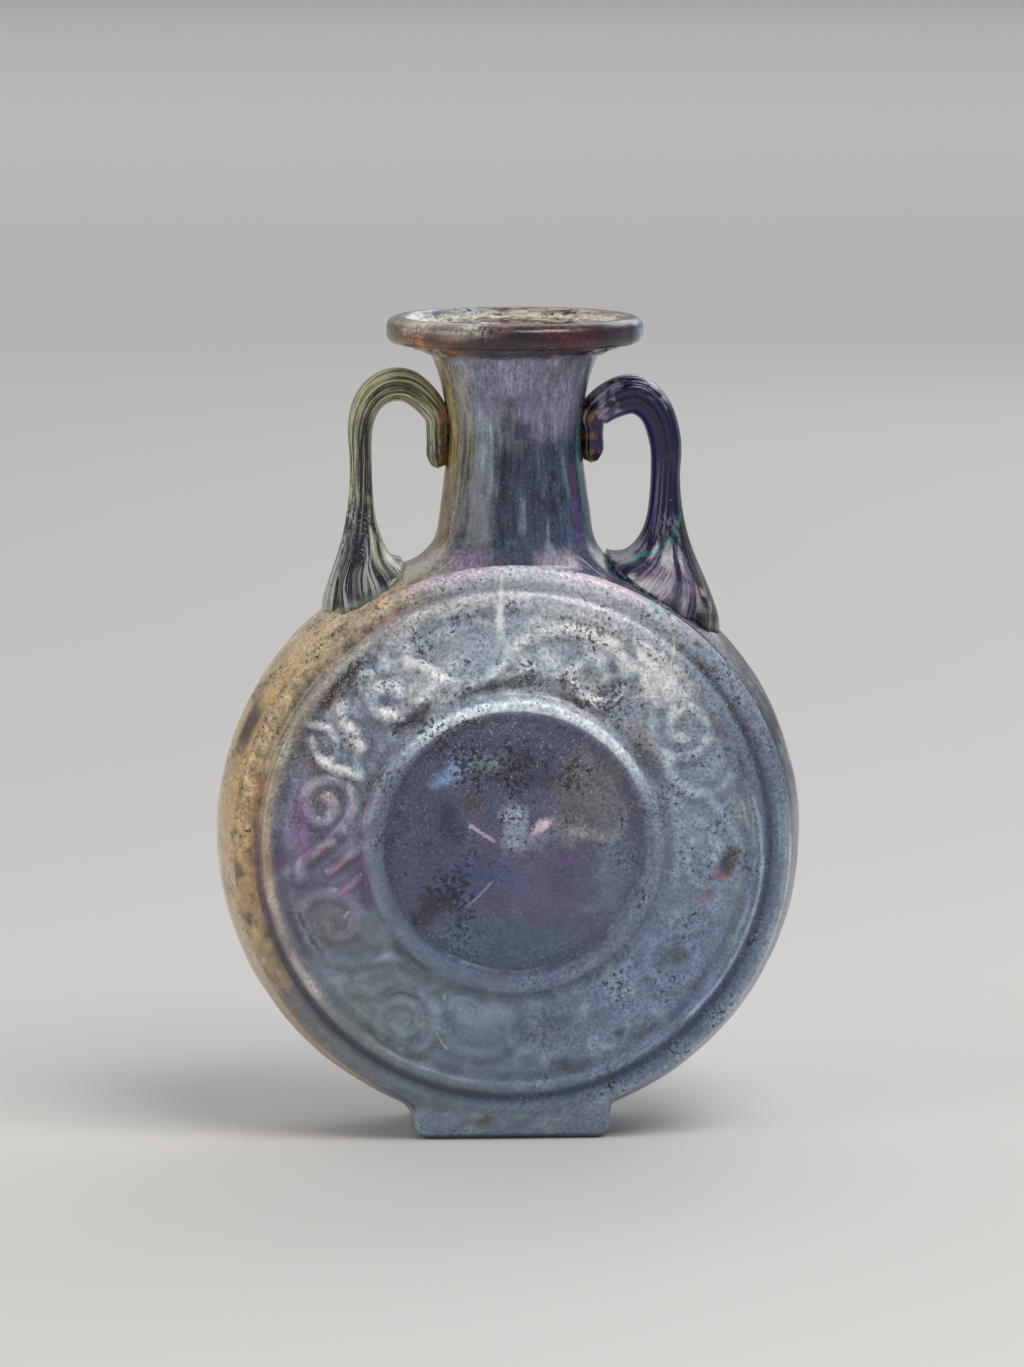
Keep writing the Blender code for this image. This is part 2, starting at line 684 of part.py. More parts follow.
def handle_keys(handle):
    """Points of the centre-line: distance from the axis, height, width in the picture plane, depth and lean.

    The lean is the angle in radians by which the fan's sections tip down and outward, onto the shoulder.
    """
    crown_z = HEIGHT - handle.crown_drop
    hook_z = HEIGHT - handle.hook_drop

    def beside_neck(z, share):
        return neck_radius(z) + handle.side * NECK_SHIFT + share * handle.hook

    edge = beside_neck(crown_z - handle.crown, 0.0)
    base_inner = DISC_RADIUS * math.sin(math.radians(handle.inner_turn))
    base_outer = DISC_RADIUS * math.sin(math.radians(handle.outer_turn))
    base_middle = 0.5 * (base_inner + base_outer)
    tilt = math.asin(base_middle / DISC_RADIUS)
    base_width = (base_outer - base_inner) / math.cos(tilt)
    outward = np.array((math.sin(tilt), math.cos(tilt)))
    base = np.array((0.0, DISC_CENTRE_Z)) + (DISC_RADIUS + HANDLE_GAP) * outward
    arch_z = crown_z - 0.62 * handle.crown
    bend_z = crown_z - 1.75 * handle.crown
    leg = bend_z - base[1]
    low = base + HANDLE_BASE_THICKNESS * np.array((0.2, 1.1))
    hook_top = hook_z + HANDLE_HOOK_RISE
    keys = [
        (beside_neck(hook_z, 0.45), hook_z, 0.55 * handle.hook, 0.48),
        (beside_neck(hook_z, 0.50), mix(hook_z, hook_top, 0.37), handle.hook, 0.81),
        (beside_neck(hook_z, 0.50), hook_top, handle.hook, 0.93),
        (edge + 0.26 * handle.crown, mix(hook_top, arch_z, 0.5), 0.78 * handle.crown, 1.02),
        (mix(edge, handle.reach, 0.36), arch_z, 0.96 * handle.crown, 1.07),
        (mix(edge, handle.reach, 0.64), crown_z - 0.50 * handle.crown, handle.crown, 1.07),
        (mix(edge, handle.reach, 0.88), crown_z - 0.92 * handle.crown, 0.88 * handle.crown, 1.05),
        (handle.reach, bend_z, mix(handle.leg, handle.crown, 0.25), 1.00),
        (handle.reach, base[1] + 0.74 * leg, handle.leg, 0.98),
    ]
    keys = [(x, z, width, share * HANDLE_DEPTH, 0.0) for x, z, width, share in keys]
    return keys + [
        (handle.reach, base[1] + 0.48 * leg, mix(handle.leg, base_width, 0.07), 1.12 * HANDLE_DEPTH, 0.08 * tilt),
        (handle.reach, base[1] + 0.29 * leg, mix(handle.leg, base_width, 0.25), 1.50 * HANDLE_DEPTH, 0.40 * tilt),
        (low[0], low[1], mix(handle.leg, base_width, 0.60), 0.68 * HANDLE_BASE_DEPTH, 0.72 * tilt),
        (base[0], base[1], base_width, HANDLE_BASE_DEPTH, tilt),
    ]


def section_direction(slope, lean):
    """Direction across the rod: square to its run, or tipped down and outward in the fan."""
    if lean > 0.0:
        return np.array((math.cos(lean), -math.sin(lean)))
    ahead = slope / np.linalg.norm(slope)
    return np.array((-ahead[1], ahead[0]))


def push_clear(position, tree):
    """Move a point out until it keeps the handle's gap to the body."""
    place, normal, _, _ = tree.find_nearest(position)
    if (position - place).dot(normal) < HANDLE_GAP:
        return place + normal * HANDLE_GAP
    return position


def ribbed(turn, swell):
    """Size of a section at an angle, for ribs that run along the rod."""
    return 1.0 + swell * math.cos(RIBS * turn + math.pi)


def rounded(value, power):
    """Sine or cosine drawn out by a power under 1, which turns an oval into a softer box."""
    return math.copysign(abs(value) ** power, value)


def onto_band(side, x, y):
    """Point of the side band below a place in the handle's base, held off by the gap."""
    depth = min(abs(y), BAND_DEPTH)
    radius = band_radius(depth) + HANDLE_GAP
    return Vector((side * x, y, DISC_CENTRE_Z + math.sqrt(radius ** 2 - x ** 2)))


def build_handle(handle, tree, material):
    """One ribbed handle from its hook on the neck down to the fan on the shoulder."""
    path = smooth_path(handle_keys(handle))
    slopes = np.gradient(path[:, :2], axis=0)
    skin = Skin()
    loops = []
    for k, (x, z, width, depth, lean) in enumerate(path):
        across = section_direction(slopes[k], lean)
        swell = RIB_SWELL * handle.leg / max(width, handle.leg)
        flare = (depth - HANDLE_DEPTH) / (HANDLE_BASE_DEPTH - HANDLE_DEPTH)
        power = mix(ROD_ROUNDING, BASE_ROUNDING, min(max(flare, 0.0), 1.0))
        ring = []
        for side_number in range(HANDLE_SIDES):
            turn = 2.0 * math.pi * side_number / HANDLE_SIDES
            size = 0.5 * ribbed(turn, swell)
            place = np.array((x, z)) + across * width * size * rounded(math.cos(turn), power)
            y = depth * size * rounded(math.sin(turn), power)
            if k == len(path) - 1:
                position = onto_band(handle.side, place[0], y)
            else:
                position = Vector((handle.side * place[0], y, place[1]))
            ring.append(push_clear(position, tree))
        loops.append(skin.loop(ring))
    for near, far in zip(loops, loops[1:]):
        skin.bridge(near, far)
    tip = sum((skin.points[k] for k in loops[0]), Vector()) / HANDLE_SIDES
    skin.fan(skin.point(push_clear(tip, tree)), loops[0])
    close_base(skin, handle, path[-1], loops[-1], tree)
    return add_object(handle.name, skin.to_bmesh(), material, 60)


def close_base(skin, handle, last, rim, tree):
    """Underside of the fan, which follows the curve of the band."""
    middle = sum((skin.points[k] for k in rim), Vector()) / len(rim)
    loop = rim
    for share in (0.62, 0.28):
        ring = []
        for index in rim:
            place = middle.lerp(skin.points[index], share)
            ring.append(push_clear(onto_band(handle.side, handle.side * place.x, place.y), tree))
        inner = skin.loop(ring)
        skin.bridge(loop, inner)
        loop = inner
    skin.fan(skin.point(push_clear(onto_band(handle.side, last[0], 0.0), tree)), loop)


def main():
    clear_scene()
    _, tree = build_body()
    yellow = glass("handle_glass_yellow_green", (0.34, 0.36, 0.20), 0.18, 0.40)
    blue = glass("handle_glass_cobalt", (0.03, 0.04, 0.16), 0.16, 0.40)
    for handle, material in zip(HANDLES, (yellow, blue)):
        build_handle(handle, tree, material)


main()
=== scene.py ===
"""Dresses the glass flask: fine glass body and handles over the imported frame, with floor and light."""

import math
from collections import namedtuple

import bmesh
import bpy
import numpy as np
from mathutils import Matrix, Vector, noise
from mathutils.kdtree import KDTree


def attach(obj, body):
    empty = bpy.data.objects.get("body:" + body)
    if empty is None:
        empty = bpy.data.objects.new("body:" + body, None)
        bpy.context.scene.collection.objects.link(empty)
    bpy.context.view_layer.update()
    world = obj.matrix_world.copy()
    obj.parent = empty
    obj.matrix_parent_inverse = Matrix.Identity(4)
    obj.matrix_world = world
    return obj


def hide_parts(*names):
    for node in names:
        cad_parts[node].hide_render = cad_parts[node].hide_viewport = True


Vine = namedtuple("Vine", "width height places")

# Sizes of the body, as in the part's source, in metres
HEIGHT = 0.170
WALL = 0.0022
DISC_RADIUS = 0.0611
DISC_RAISE = 0.0012
FIELD_DEPTH = 0.0202
FIELD_FALL = 0.0004
MEDALLION_RADIUS = 0.0256
DOME_RISE = 0.0022
RING_WIDTH = 0.0060
RING_HEIGHT = 0.0014
BORDER_WIDTH = 0.0036
BORDER_HEIGHT = 0.0010
BORDER_INSET = 0.0065
EDGE_INSET = 0.0034
EDGE_FALL = 0.0023
GROOVE_CUT = 0.0014
GROOVE_WIDTH = 0.0023
FOOT_HALF_WIDTH = 0.0203
FOOT_HALF_DEPTH = 0.0148
FOOT_CORNER = 0.0032
FOOT_FILLET = 0.0030
FOOT_LEFT_FILLET = 0.0056
FOOT_EDGE_RISE = 0.0024
FOOT_FRONT_SWELL = 0.0020
FOOT_FLOOR = 0.0024
NECK_SHIFT = 0.0013
NECK_WAIST_RADIUS = 0.0141
NECK_WAIST_DROP = 0.0170
NECK_TOP_RADIUS = 0.0176
FLARE_HEIGHT = 0.0036
RIM_RADIUS = 0.0242
RIM_ROLL = 0.0029
DISC_CENTRE_Z = DISC_RADIUS + DISC_RAISE
EDGE_RADIUS = DISC_RADIUS - EDGE_INSET
GROOVE_RADIUS = EDGE_RADIUS - GROOVE_CUT
BORDER_RADIUS = EDGE_RADIUS - BORDER_INSET
EDGE_DEPTH = FIELD_DEPTH - EDGE_FALL
GROOVE_DEPTH = EDGE_DEPTH - 0.45 * GROOVE_WIDTH
BAND_DEPTH = EDGE_DEPTH - GROOVE_WIDTH
BAND_FALL = EDGE_INSET - 0.15 * GROOVE_CUT
RING_INNER = MEDALLION_RADIUS
RING_OUTER = MEDALLION_RADIUS + RING_WIDTH
FIELD_OUTER = BORDER_RADIUS - 0.5 * BORDER_WIDTH
STEM_RADIUS = 0.5 * (RING_OUTER + FIELD_OUTER)
SHOULDER_Z = DISC_CENTRE_Z + GROOVE_RADIUS
NECK_BASE_RADIUS = GROOVE_DEPTH
RIM_BASE_Z = HEIGHT - 2.0 * RIM_ROLL - 0.0022
WAIST_Z = RIM_BASE_Z - NECK_WAIST_DROP

# Angles up from the bottom of the disc, in degrees, where the foot's outline changes
FOOT_FLAT_END = 18.0
FOOT_CORNER_END = 30.0
FOOT_FILLET_MIDDLE = 36.0
FOOT_FILLET_END = 42.0
FOOT_SPREAD = 84.0

# The vine scroll of the back, with the width and height of its ridges
CURL_ANGLES = (-41, -8, 24, 58, 95, 128, 173, 211, 247, 283)
STEM_SWING = 0.0064
STEM_RIDGE = (0.0044, 0.0009)
CURL_RIDGE = (0.0038, 0.0008)
CURL_SHIFT = 0.0008
CURL_TURN_KEYS = (0.0, 0.12, 0.3, 0.75, 1.05, 1.3)
CURL_RADIUS_KEYS = (0.0068, 0.0056, 0.0047, 0.0042, 0.0029, 0.0019)

# The front's vine scroll as it is worn: its ridges in millimetres from the disc's centre
VINES = (
    Vine(4.8, 1.20, ((-31.3, 20.8), (-34.0, 25.2), (-35.4, 28.6), (-34.8, 32.0), (-32.2, 34.8),
                     (-28.6, 36.5), (-23.7, 37.4), (-18.9, 36.9), (-16.4, 34.6), (-17.4, 31.4),
                     (-20.6, 28.7), (-24.6, 27.0), (-28.0, 27.6), (-29.6, 29.8), (-28.4, 32.0),
                     (-25.6, 32.7), (-24.0, 31.2))),
    Vine(4.6, 1.00, ((-16.4, 34.6), (-12.1, 33.4), (-8.0, 33.6), (-4.6, 35.2), (-1.4, 37.8), (-0.2, 40.4),
                     (3.4, 42.6), (7.6, 44.0), (12.0, 44.2), (16.4, 43.2), (20.0, 40.9), (22.6, 37.8),
                     (23.4, 34.2), (21.0, 31.0), (17.4, 29.6), (14.2, 30.4), (12.2, 33.0), (12.2, 36.0),
                     (14.8, 37.8), (17.6, 37.0), (18.4, 34.8))),
    Vine(4.2, 0.75, ((22.6, 37.8), (26.0, 34.6), (28.4, 31.0), (28.6, 26.6), (28.8, 21.8), (31.2, 18.4),
                     (34.6, 17.6), (38.2, 19.0), (40.0, 22.4), (39.0, 26.2), (35.4, 27.8), (32.4, 25.8),
                     (32.6, 22.6), (35.0, 21.6))),
    Vine(4.2, 0.65, ((31.2, 18.4), (32.4, 14.6), (35.6, 11.2), (39.4, 10.2), (43.2, 11.6), (46.0, 15.0),
                     (46.2, 18.6))),
    Vine(3.8, 0.50, ((39.4, 10.2), (42.6, 6.4), (45.6, 1.6), (45.8, -3.6), (43.4, -8.0), (39.0, -9.0),
                     (36.0, -6.0), (36.0, -1.6), (38.8, 1.2), (42.0, -0.6), (41.6, -3.8))),
    Vine(4.6, 0.55, ((43.4, -8.0), (42.4, -13.4), (38.4, -17.6), (32.0, -19.0), (27.8, -22.6),
                     (28.2, -27.2), (32.4, -29.6), (36.8, -27.6), (37.8, -23.6), (35.2, -21.0))),
    Vine(4.8, 0.30, ((28.2, -27.2), (24.0, -31.0), (18.0, -33.6), (11.6, -34.8), (5.6, -36.0), (1.6, -39.6),
                     (3.6, -43.8), (8.6, -44.6), (11.6, -41.4), (9.0, -38.6))),
    Vine(4.6, 0.60, ((1.6, -39.6), (-4.6, -43.6), (-11.0, -43.0), (-14.8, -38.6), (-15.9, -35.0),
                     (-18.4, -30.6), (-22.2, -28.4), (-26.0, -28.4), (-29.0, -30.4), (-32.6, -30.2))),
    Vine(3.8, 0.55, ((-18.4, -30.6), (-16.2, -36.8), (-17.2, -40.6), (-20.0, -42.8), (-23.9, -42.9),
                     (-27.0, -41.0), (-28.1, -37.3), (-27.0, -34.0), (-24.4, -32.6), (-21.4, -33.0),
                     (-19.6, -35.4), (-20.2, -38.4), (-23.0, -39.4), (-25.0, -37.6))),
    Vine(4.4, 0.70, ((-18.6, -26.2), (-21.8, -24.0), (-25.9, -23.2), (-30.0, -23.8), (-34.0, -24.4),
                     (-37.7, -23.4), (-40.6, -20.8), (-43.0, -17.6), (-43.9, -14.2), (-42.4, -11.2),
                     (-38.6, -9.8), (-34.4, -11.0), (-32.4, -14.4), (-33.8, -18.2), (-37.2, -18.8),
                     (-38.6, -16.0))),
    Vine(2.8, 0.80, ((-31.0, -6.0), (-32.8, -7.6), (-35.0, -9.2), (-37.3, -10.4))),
    Vine(2.8, 0.80, ((-31.9, -0.6), (-33.5, -2.0), (-35.8, -3.8), (-38.0, -5.4))),
    Vine(4.0, 1.00, ((-44.0, -7.0), (-43.4, -3.6), (-40.7, -1.2), (-37.5, 1.3), (-34.9, 4.4), (-33.2, 7.8),
                     (-33.6, 11.2), (-35.8, 13.2), (-39.3, 13.6), (-42.0, 11.8), (-42.8, 8.4), (-41.0, 5.2),
                     (-38.4, 5.4), (-36.9, 8.0), (-38.6, 10.2))),
    Vine(3.4, 1.10, ((-41.8, 22.0), (-40.2, 18.4), (-37.4, 16.4), (-34.2, 15.2), (-31.4, 14.4))),
    Vine(2.8, 0.90, ((-38.2, 24.3), (-36.4, 21.2), (-37.1, 18.4), (-38.9, 17.0))),
    Vine(2.6, 0.80, ((-42.6, 25.2), (-40.4, 25.0), (-38.4, 24.4))),
    Vine(3.0, 0.90, ((-31.3, 20.8), (-32.4, 17.8), (-31.2, 14.4))),
)

# Mesh fineness: columns round the faces and round the side band, and points in each gap of a drawn line
FACE_COLUMNS = 480
BAND_COLUMNS = 240
INNER_COLUMNS = 60
NECK_HALF_COLUMNS = 16
CURVE_STEPS = 6

Row = namedtuple("Row", "radius depth shear foot rise foot_depth half_width", defaults=(0.0,) * 5)
Handle = namedtuple("Handle", "name side reach crown_z hook_z base_inner base_outer crown leg hook notch"
                    " notch_turn twist")

# Left and right handle, with how deep the fan's outer edge is notched and how its ribs turn
HANDLES = (
    Handle("left_handle", -1, 0.0307, 0.1590, 0.1390, 0.0222, 0.0388, 0.0066, 0.0043, 0.0042, 0.30, -38.0,
           0.5),
    Handle("right_handle", 1, 0.0326, 0.1574, 0.1400, 0.0205, 0.0440, 0.0080, 0.0060, 0.0044, 0.10, -60.0,
           -0.4),
)
HANDLE_BASE_DEPTH = 0.0296
HANDLE_BASE_THICKNESS = 0.0030
HANDLE_DEPTH = 0.0084
HANDLE_HOOK_RISE = 0.0060
HANDLE_SIDES = 144
HANDLE_STEPS = 9
RIB_HEIGHT = 0.00030


def mix(a, b, share):
    """Value at a share of the way from a to b."""
    return a + (b - a) * share


def ease(share):
    """Share from 0 to 1 that starts and stops softly."""
    share = np.clip(share, 0.0, 1.0)
    return share * share * (3.0 - 2.0 * share)


def hump(distance, width):
    """Soft bump that is 1 at distance 0 and 0 from half its width on."""
    return 0.5 + 0.5 * np.cos(np.pi * np.clip(2.0 * np.abs(distance) / width, 0.0, 1.0))


def follow(keys, places, steps):
    """Smooth curve with no overshoot through the rows of keys, with so many steps in each gap."""
    keys = np.array(keys, float)
    places = np.array(places, float)
    gaps = np.diff(places)[:, None]
    slopes = np.diff(keys, axis=0) / gaps
    tangents = np.zeros_like(keys)
    same = slopes[:-1] * slopes[1:] > 0
    total = np.where(same, slopes[:-1] + slopes[1:], 1.0)
    tangents[1:-1] = np.where(same, 2.0 * slopes[:-1] * slopes[1:] / total, 0.0)
    tangents[0] = slopes[0]
    tangents[-1] = slopes[-1]
    rows = [keys[:1]]
    for k, count in enumerate(steps):
        s = (np.arange(1, count + 1) / count)[:, None]
        leaving = (2 * s ** 3 - 3 * s ** 2 + 1) * keys[k] + (s ** 3 - 2 * s ** 2 + s) * gaps[k] * tangents[k]
        rows.append(leaving + (3 * s ** 2 - 2 * s ** 3) * keys[k + 1]
                    + (s ** 3 - s ** 2) * gaps[k] * tangents[k + 1])
    return np.vstack(rows)


def run_lengths(points):
    """Distance along a line, measured in the first two columns, at each of its points."""
    return np.concatenate(([0.0], np.cumsum(np.hypot(np.diff(points[:, 0]), np.diff(points[:, 1])))))


def fine_rows(rows, steps):
    """Rows on a smooth curve through a few of them."""
    return [Row(*values) for values in follow(rows, run_lengths(np.array(rows)), steps)]


def cloud(points, scale, seed, octaves=3):
    """Fractal noise from about -1 to 1 at each point; scale is the size of its largest marks."""
    shift = Vector((seed * 1.7, seed * 3.1, seed * 5.3))
    values = [noise.fractal(Vector(p) / scale + shift, 1.0, 2.0, octaves) for p in points]
    return np.array(values)


class Skin:
    """Points and faces that are collected loop by loop into one mesh."""

    def __init__(self):
        self.points = []
        self.faces = []
        self.zones = []
        self.marks = []

    def loop(self, positions, zone, marks=None):
        """Add points of one zone, each with two marks, such as how near it is to a ridge."""
        first = len(self.points)
        self.points.extend([tuple(position) for position in positions])
        self.zones.extend([zone] * len(positions))
        self.marks.extend(marks if marks is not None else [(0.0, 0.0)] * len(positions))
        return list(range(first, len(self.points)))

    def bridge(self, near, far):
        """Quads between two closed loops of the same count, or triangles to one with half as many points."""
        if len(near) == 2 * len(far):
            self.halve(near, far)
            return
        if len(far) == 2 * len(near):
            self.halve(far, near)
            return
        for k in range(len(near)):
            after = (k + 1) % len(near)
            self.faces.append((near[k], near[after], far[after], far[k]))

    def halve(self, fine, coarse):
        for k in range(len(coarse)):
            after = (k + 1) % len(coarse)
            middle = fine[2 * k + 1]
            self.faces.append((fine[2 * k], middle, coarse[k]))
            self.faces.append((middle, coarse[after], coarse[k]))
            self.faces.append((middle, fine[(2 * k + 2) % len(fine)], coarse[after]))

    def chain(self, loops):
        for near, far in zip(loops, loops[1:]):
            self.bridge(near, far)

    def cap(self, centre, around, zone):
        """Close a loop with triangles to one point."""
        middle = self.loop([centre], zone)[0]
        for k in range(len(around)):
            self.faces.append((middle, around[k], around[(k + 1) % len(around)]))


def add_piece(name, points, faces, material, colours, values):
    """Scene object from points and faces, shaded smooth, with its painted layers."""
    data = bpy.data.meshes.new(name)
    data.from_pydata([tuple(p) for p in points], [], faces)
    mesh = bmesh.new()
    mesh.from_mesh(data)
    bmesh.ops.recalc_face_normals(mesh, faces=mesh.faces)
    mesh.to_mesh(data)
    mesh.free()
    data.shade_smooth()
    data.materials.append(material)
    for layer, array in colours.items():
        attribute = data.color_attributes.new(layer, "FLOAT_COLOR", "POINT")
        attribute.data.foreach_set("color", np.column_stack((array, np.ones(len(array)))).ravel())
    for layer, array in values.items():
        kind, field = ("FLOAT_VECTOR", "vector") if np.ndim(array) == 2 else ("FLOAT", "value")
        attribute = data.attributes.new(layer, kind, "POINT")
        attribute.data.foreach_set(field, np.asarray(array, dtype=np.float32).ravel())
    thing = bpy.data.objects.new(name, data)
    bpy.context.scene.collection.objects.link(thing)
    return thing


# The vine scroll

def polar(angle, radius):
    """Point of the face at an angle in degrees clockwise from the top, measured from the disc's centre."""
    return np.array((radius * math.sin(math.radians(angle)), radius * math.cos(math.radians(angle))))


def local_frame(angle, radius):
    """Origin on the face with unit vectors along the frieze and outward from its centre."""
    turn = math.radians(angle)
    along = np.array((math.cos(turn), -math.sin(turn)))
    outward = np.array((math.sin(turn), math.cos(turn)))
    return polar(angle, radius), along, outward


def stem_line():
    """The closed running stem of the vine."""
    points = []
    count = len(CURL_ANGLES)
    for k in range(count):
        start = CURL_ANGLES[k]
        gap = (CURL_ANGLES[(k + 1) % count] - start) % 360
        for f in np.arange(0.0, 1.0, 0.05):
            wave = math.cos(math.pi * (k + f))
            points.append(polar(start + gap * f, STEM_RADIUS + STEM_SWING * wave))
    return points + points[:1]


def curl_line(number):
    """One curl that leaves the stem and winds up in its bend."""
    facing = 1 if number % 2 == 0 else -1
    centre, along, outward = local_frame(CURL_ANGLES[number], STEM_RADIUS - facing * CURL_SHIFT)
    points = []
    for turns in np.arange(0.0, CURL_TURN_KEYS[-1], 0.02):
        turn = math.radians(80.0) - turns * 2.0 * math.pi
        size = np.interp(turns, CURL_TURN_KEYS, CURL_RADIUS_KEYS)
        points.append(centre + size * (math.cos(turn) * along + facing * math.sin(turn) * outward))
    return points


def curve_through(keys, steps):
    """Smooth curve through the rows of keys, with so many points in each gap."""
    keys = np.array(keys)
    ends = np.vstack((2 * keys[0] - keys[1], keys, 2 * keys[-1] - keys[-2]))
    points = []
    for before, start, stop, after in zip(ends, ends[1:], ends[2:], ends[3:]):
        for t in np.arange(steps) / steps:
            points.append(0.5 * (2 * start + (stop - before) * t
                                 + (2 * before - 5 * start + 4 * stop - after) * t * t
                                 + (3 * start - before - 3 * stop + after) * t ** 3))
    return np.array(points + [keys[-1]])


class Ridges:
    """Soft ridges along a set of centre-lines."""

    def __init__(self, lines, width, height):
        places = []
        for line in lines:
            line = np.array(line)
            lengths = run_lengths(line)
            steps = np.linspace(0.0, lengths[-1], max(2, int(lengths[-1] / 0.00025)))
            places += list(zip(np.interp(steps, lengths, line[:, 0]), np.interp(steps, lengths, line[:, 1])))
        self.tree = KDTree(len(places))
        for k, (x, z) in enumerate(places):
            self.tree.insert((x, z, 0.0), k)
        self.tree.balance()
        self.width = width
        self.height = height

    def at(self, x, z):
        """Height at each place, and a soft mark for the ground close beside the ridge, which the painting
        darkens as shade.
        """
        distances = np.array([self.tree.find((a, b, 0.0))[2] for a, b in zip(x, z)])
        near = hump(distances, 1.9 * self.width) * min(1.0, self.height / 0.0010)
        return self.height * hump(distances, self.width), near


def scroll_ridges(side):
    """Ridges of the scroll: the worn one of the front, or the plainer one of the back."""
    if side < 0:
        return [Ridges([0.001 * curve_through(vine.places, CURVE_STEPS)], 0.001 * vine.width,
                       0.001 * vine.height) for vine in VINES]
    curls = [curl_line(number) for number in range(len(CURL_ANGLES))]
    return [Ridges([stem_line()], *STEM_RIDGE), Ridges(curls, *CURL_RIDGE)]


def worn_border(x, z):
    """Wear of the raised border, which is nearly gone at the top and low at the left."""
    radius = np.hypot(x, z)
    angle = np.degrees(np.arctan2(x, z))
    top = ease((52.0 - np.abs(angle - 12.0)) / 30.0)
    left = ease((45.0 - np.abs(angle + 45.0)) / 30.0)
    wear = np.minimum(0.85 * top + 0.40 * left + 0.20, 1.0)
    lost = wear * BORDER_HEIGHT * hump(radius - BORDER_RADIUS, 0.0052)
    return -lost, 0.0 * lost


# The medallion's worn relief: places and sizes of low swellings, from the disc's centre, and their heights
MEDALLION_SWELLS = (
    ((0.0010, 0.0060), (0.0034, 0.0030), 0.0009),
    ((0.0068, 0.0048), (0.0040, 0.0026), 0.0008),
    ((-0.0052, 0.0038), (0.0036, 0.0040), 0.0008),
    ((-0.0140, 0.0140), (0.0050, 0.0030), 0.0006),
    ((0.0170, 0.0020), (0.0060, 0.0022), 0.0005),
    ((-0.0040, -0.0080), (0.0044, 0.0028), 0.0006),
    ((-0.0130, -0.0110), (0.0060, 0.0032), 0.0005),
    ((0.0090, -0.0110), (0.0058, 0.0050), 0.0004),
)


def medallion_swell(x, z):
    """Height of the worn relief on the medallion."""
    height = np.zeros(len(x))
    for (cx, cz), (wide, tall), rise in MEDALLION_SWELLS:
        height += rise * np.exp(-((x - cx) / wide) ** 2 - ((z - cz) / tall) ** 2)
    return height, 0.0 * height


# The disc, in rows that run round its centre

def field_depth(radius):
    """Half thickness of the body at the plain field of the frieze."""
    return FIELD_DEPTH - FIELD_FALL * (radius - RING_OUTER) / (FIELD_OUTER - RING_OUTER)


def dome_depth(radius):
    """Half thickness of the body over the medallion's swell."""
    share = radius / RING_OUTER
    return FIELD_DEPTH + DOME_RISE * max(0.0, 1.0 - share * share)


def foot_outline(radius, rise, half_width, below):
    """Outline of a row round the bottom: flat, corner, wall, fillet and then its own circle.

    below is the angle from the bottom in degrees, positive at the right. The fillet at the left is wider.
    It returns the polar angle and radius.
    """
    contact = DISC_CENTRE_Z - math.sqrt(radius ** 2 - half_width ** 2)
    corner = min(FOOT_CORNER, 0.44 * (contact - rise))
    if below > 0.0:
        fillet = min(FOOT_FILLET, 0.60 * (contact - rise))
    else:
        fillet = min(FOOT_LEFT_FILLET, contact - rise)
    below = abs(below)
    fillet_x = half_width + fillet
    fillet_z = DISC_CENTRE_Z - math.sqrt((radius + fillet) ** 2 - fillet_x ** 2)
    meet = math.atan2(fillet_x, DISC_CENTRE_Z - fillet_z)
    flat = half_width - corner
    if below <= FOOT_FLAT_END:
        x, z = flat * below / FOOT_FLAT_END, rise
    elif below <= FOOT_CORNER_END:
        turn = 0.5 * math.pi * (below - FOOT_FLAT_END) / (FOOT_CORNER_END - FOOT_FLAT_END)
        x, z = flat + corner * math.sin(turn), rise + corner * (1.0 - math.cos(turn))
    elif below <= FOOT_FILLET_END:
        share = (below - FOOT_FILLET_MIDDLE) / (FOOT_FILLET_END - FOOT_FILLET_MIDDLE)
        wall_share = (below - FOOT_CORNER_END) / (FOOT_FILLET_MIDDLE - FOOT_CORNER_END)
        half_turn = 0.5 * (0.5 * math.pi - meet)
        turn = half_turn * (1.0 + share) if share >= 0.0 else half_turn * wall_share
        wall_foot = min(rise + corner, fillet_z)
        wall = fillet_z if share >= 0.0 else mix(wall_foot, fillet_z, wall_share)
        x, z = fillet_x - fillet * math.cos(turn), wall + fillet * math.sin(turn)
    else:
        share = (below - FOOT_FILLET_END) / (FOOT_SPREAD - FOOT_FILLET_END)
        return mix(meet, math.radians(FOOT_SPREAD), share), radius
    return math.atan2(x, DISC_CENTRE_Z - z), math.hypot(x, DISC_CENTRE_Z - z)


def disc_point(row, angle, side):
    """Point of a row at an angle in degrees clockwise from the top; side is -1 at the front."""
    below = 180.0 - angle % 360.0
    radius = row.radius
    depth = row.depth
    polar_angle = math.radians(abs(below))
    if row.shear and abs(below) < FOOT_SPREAD:
        foot_angle, foot_radius = foot_outline(radius, row.rise, row.half_width, below)
        polar_angle = mix(polar_angle, foot_angle, row.shear)
        radius = mix(radius, foot_radius, row.foot)
        near = 1.0 - ease((abs(below) - FOOT_CORNER_END) / (FOOT_FILLET_END - FOOT_CORNER_END))
        depth = mix(depth, row.foot_depth, row.foot * near)
    x = math.copysign(radius * math.sin(polar_angle), below)
    return (x, side * depth, DISC_CENTRE_Z - radius * math.cos(polar_angle))


def row_loop(skin, row, side, columns, zone, lift=None, marks=None):
    """Closed loop of one row, clockwise from the top; lift gives the relief and its marks at each place."""
    ring = np.array([disc_point(row, 360.0 * k / columns, side) for k in range(columns)])
    if lift is not None:
        heights, near = lift(ring[:, 0], ring[:, 2] - DISC_CENTRE_Z)
        ring[:, 1] += side * heights
        marks = list(zip(heights, near))
    elif marks is not None:
        marks = [marks] * columns
    return skin.loop(ring, zone, marks)


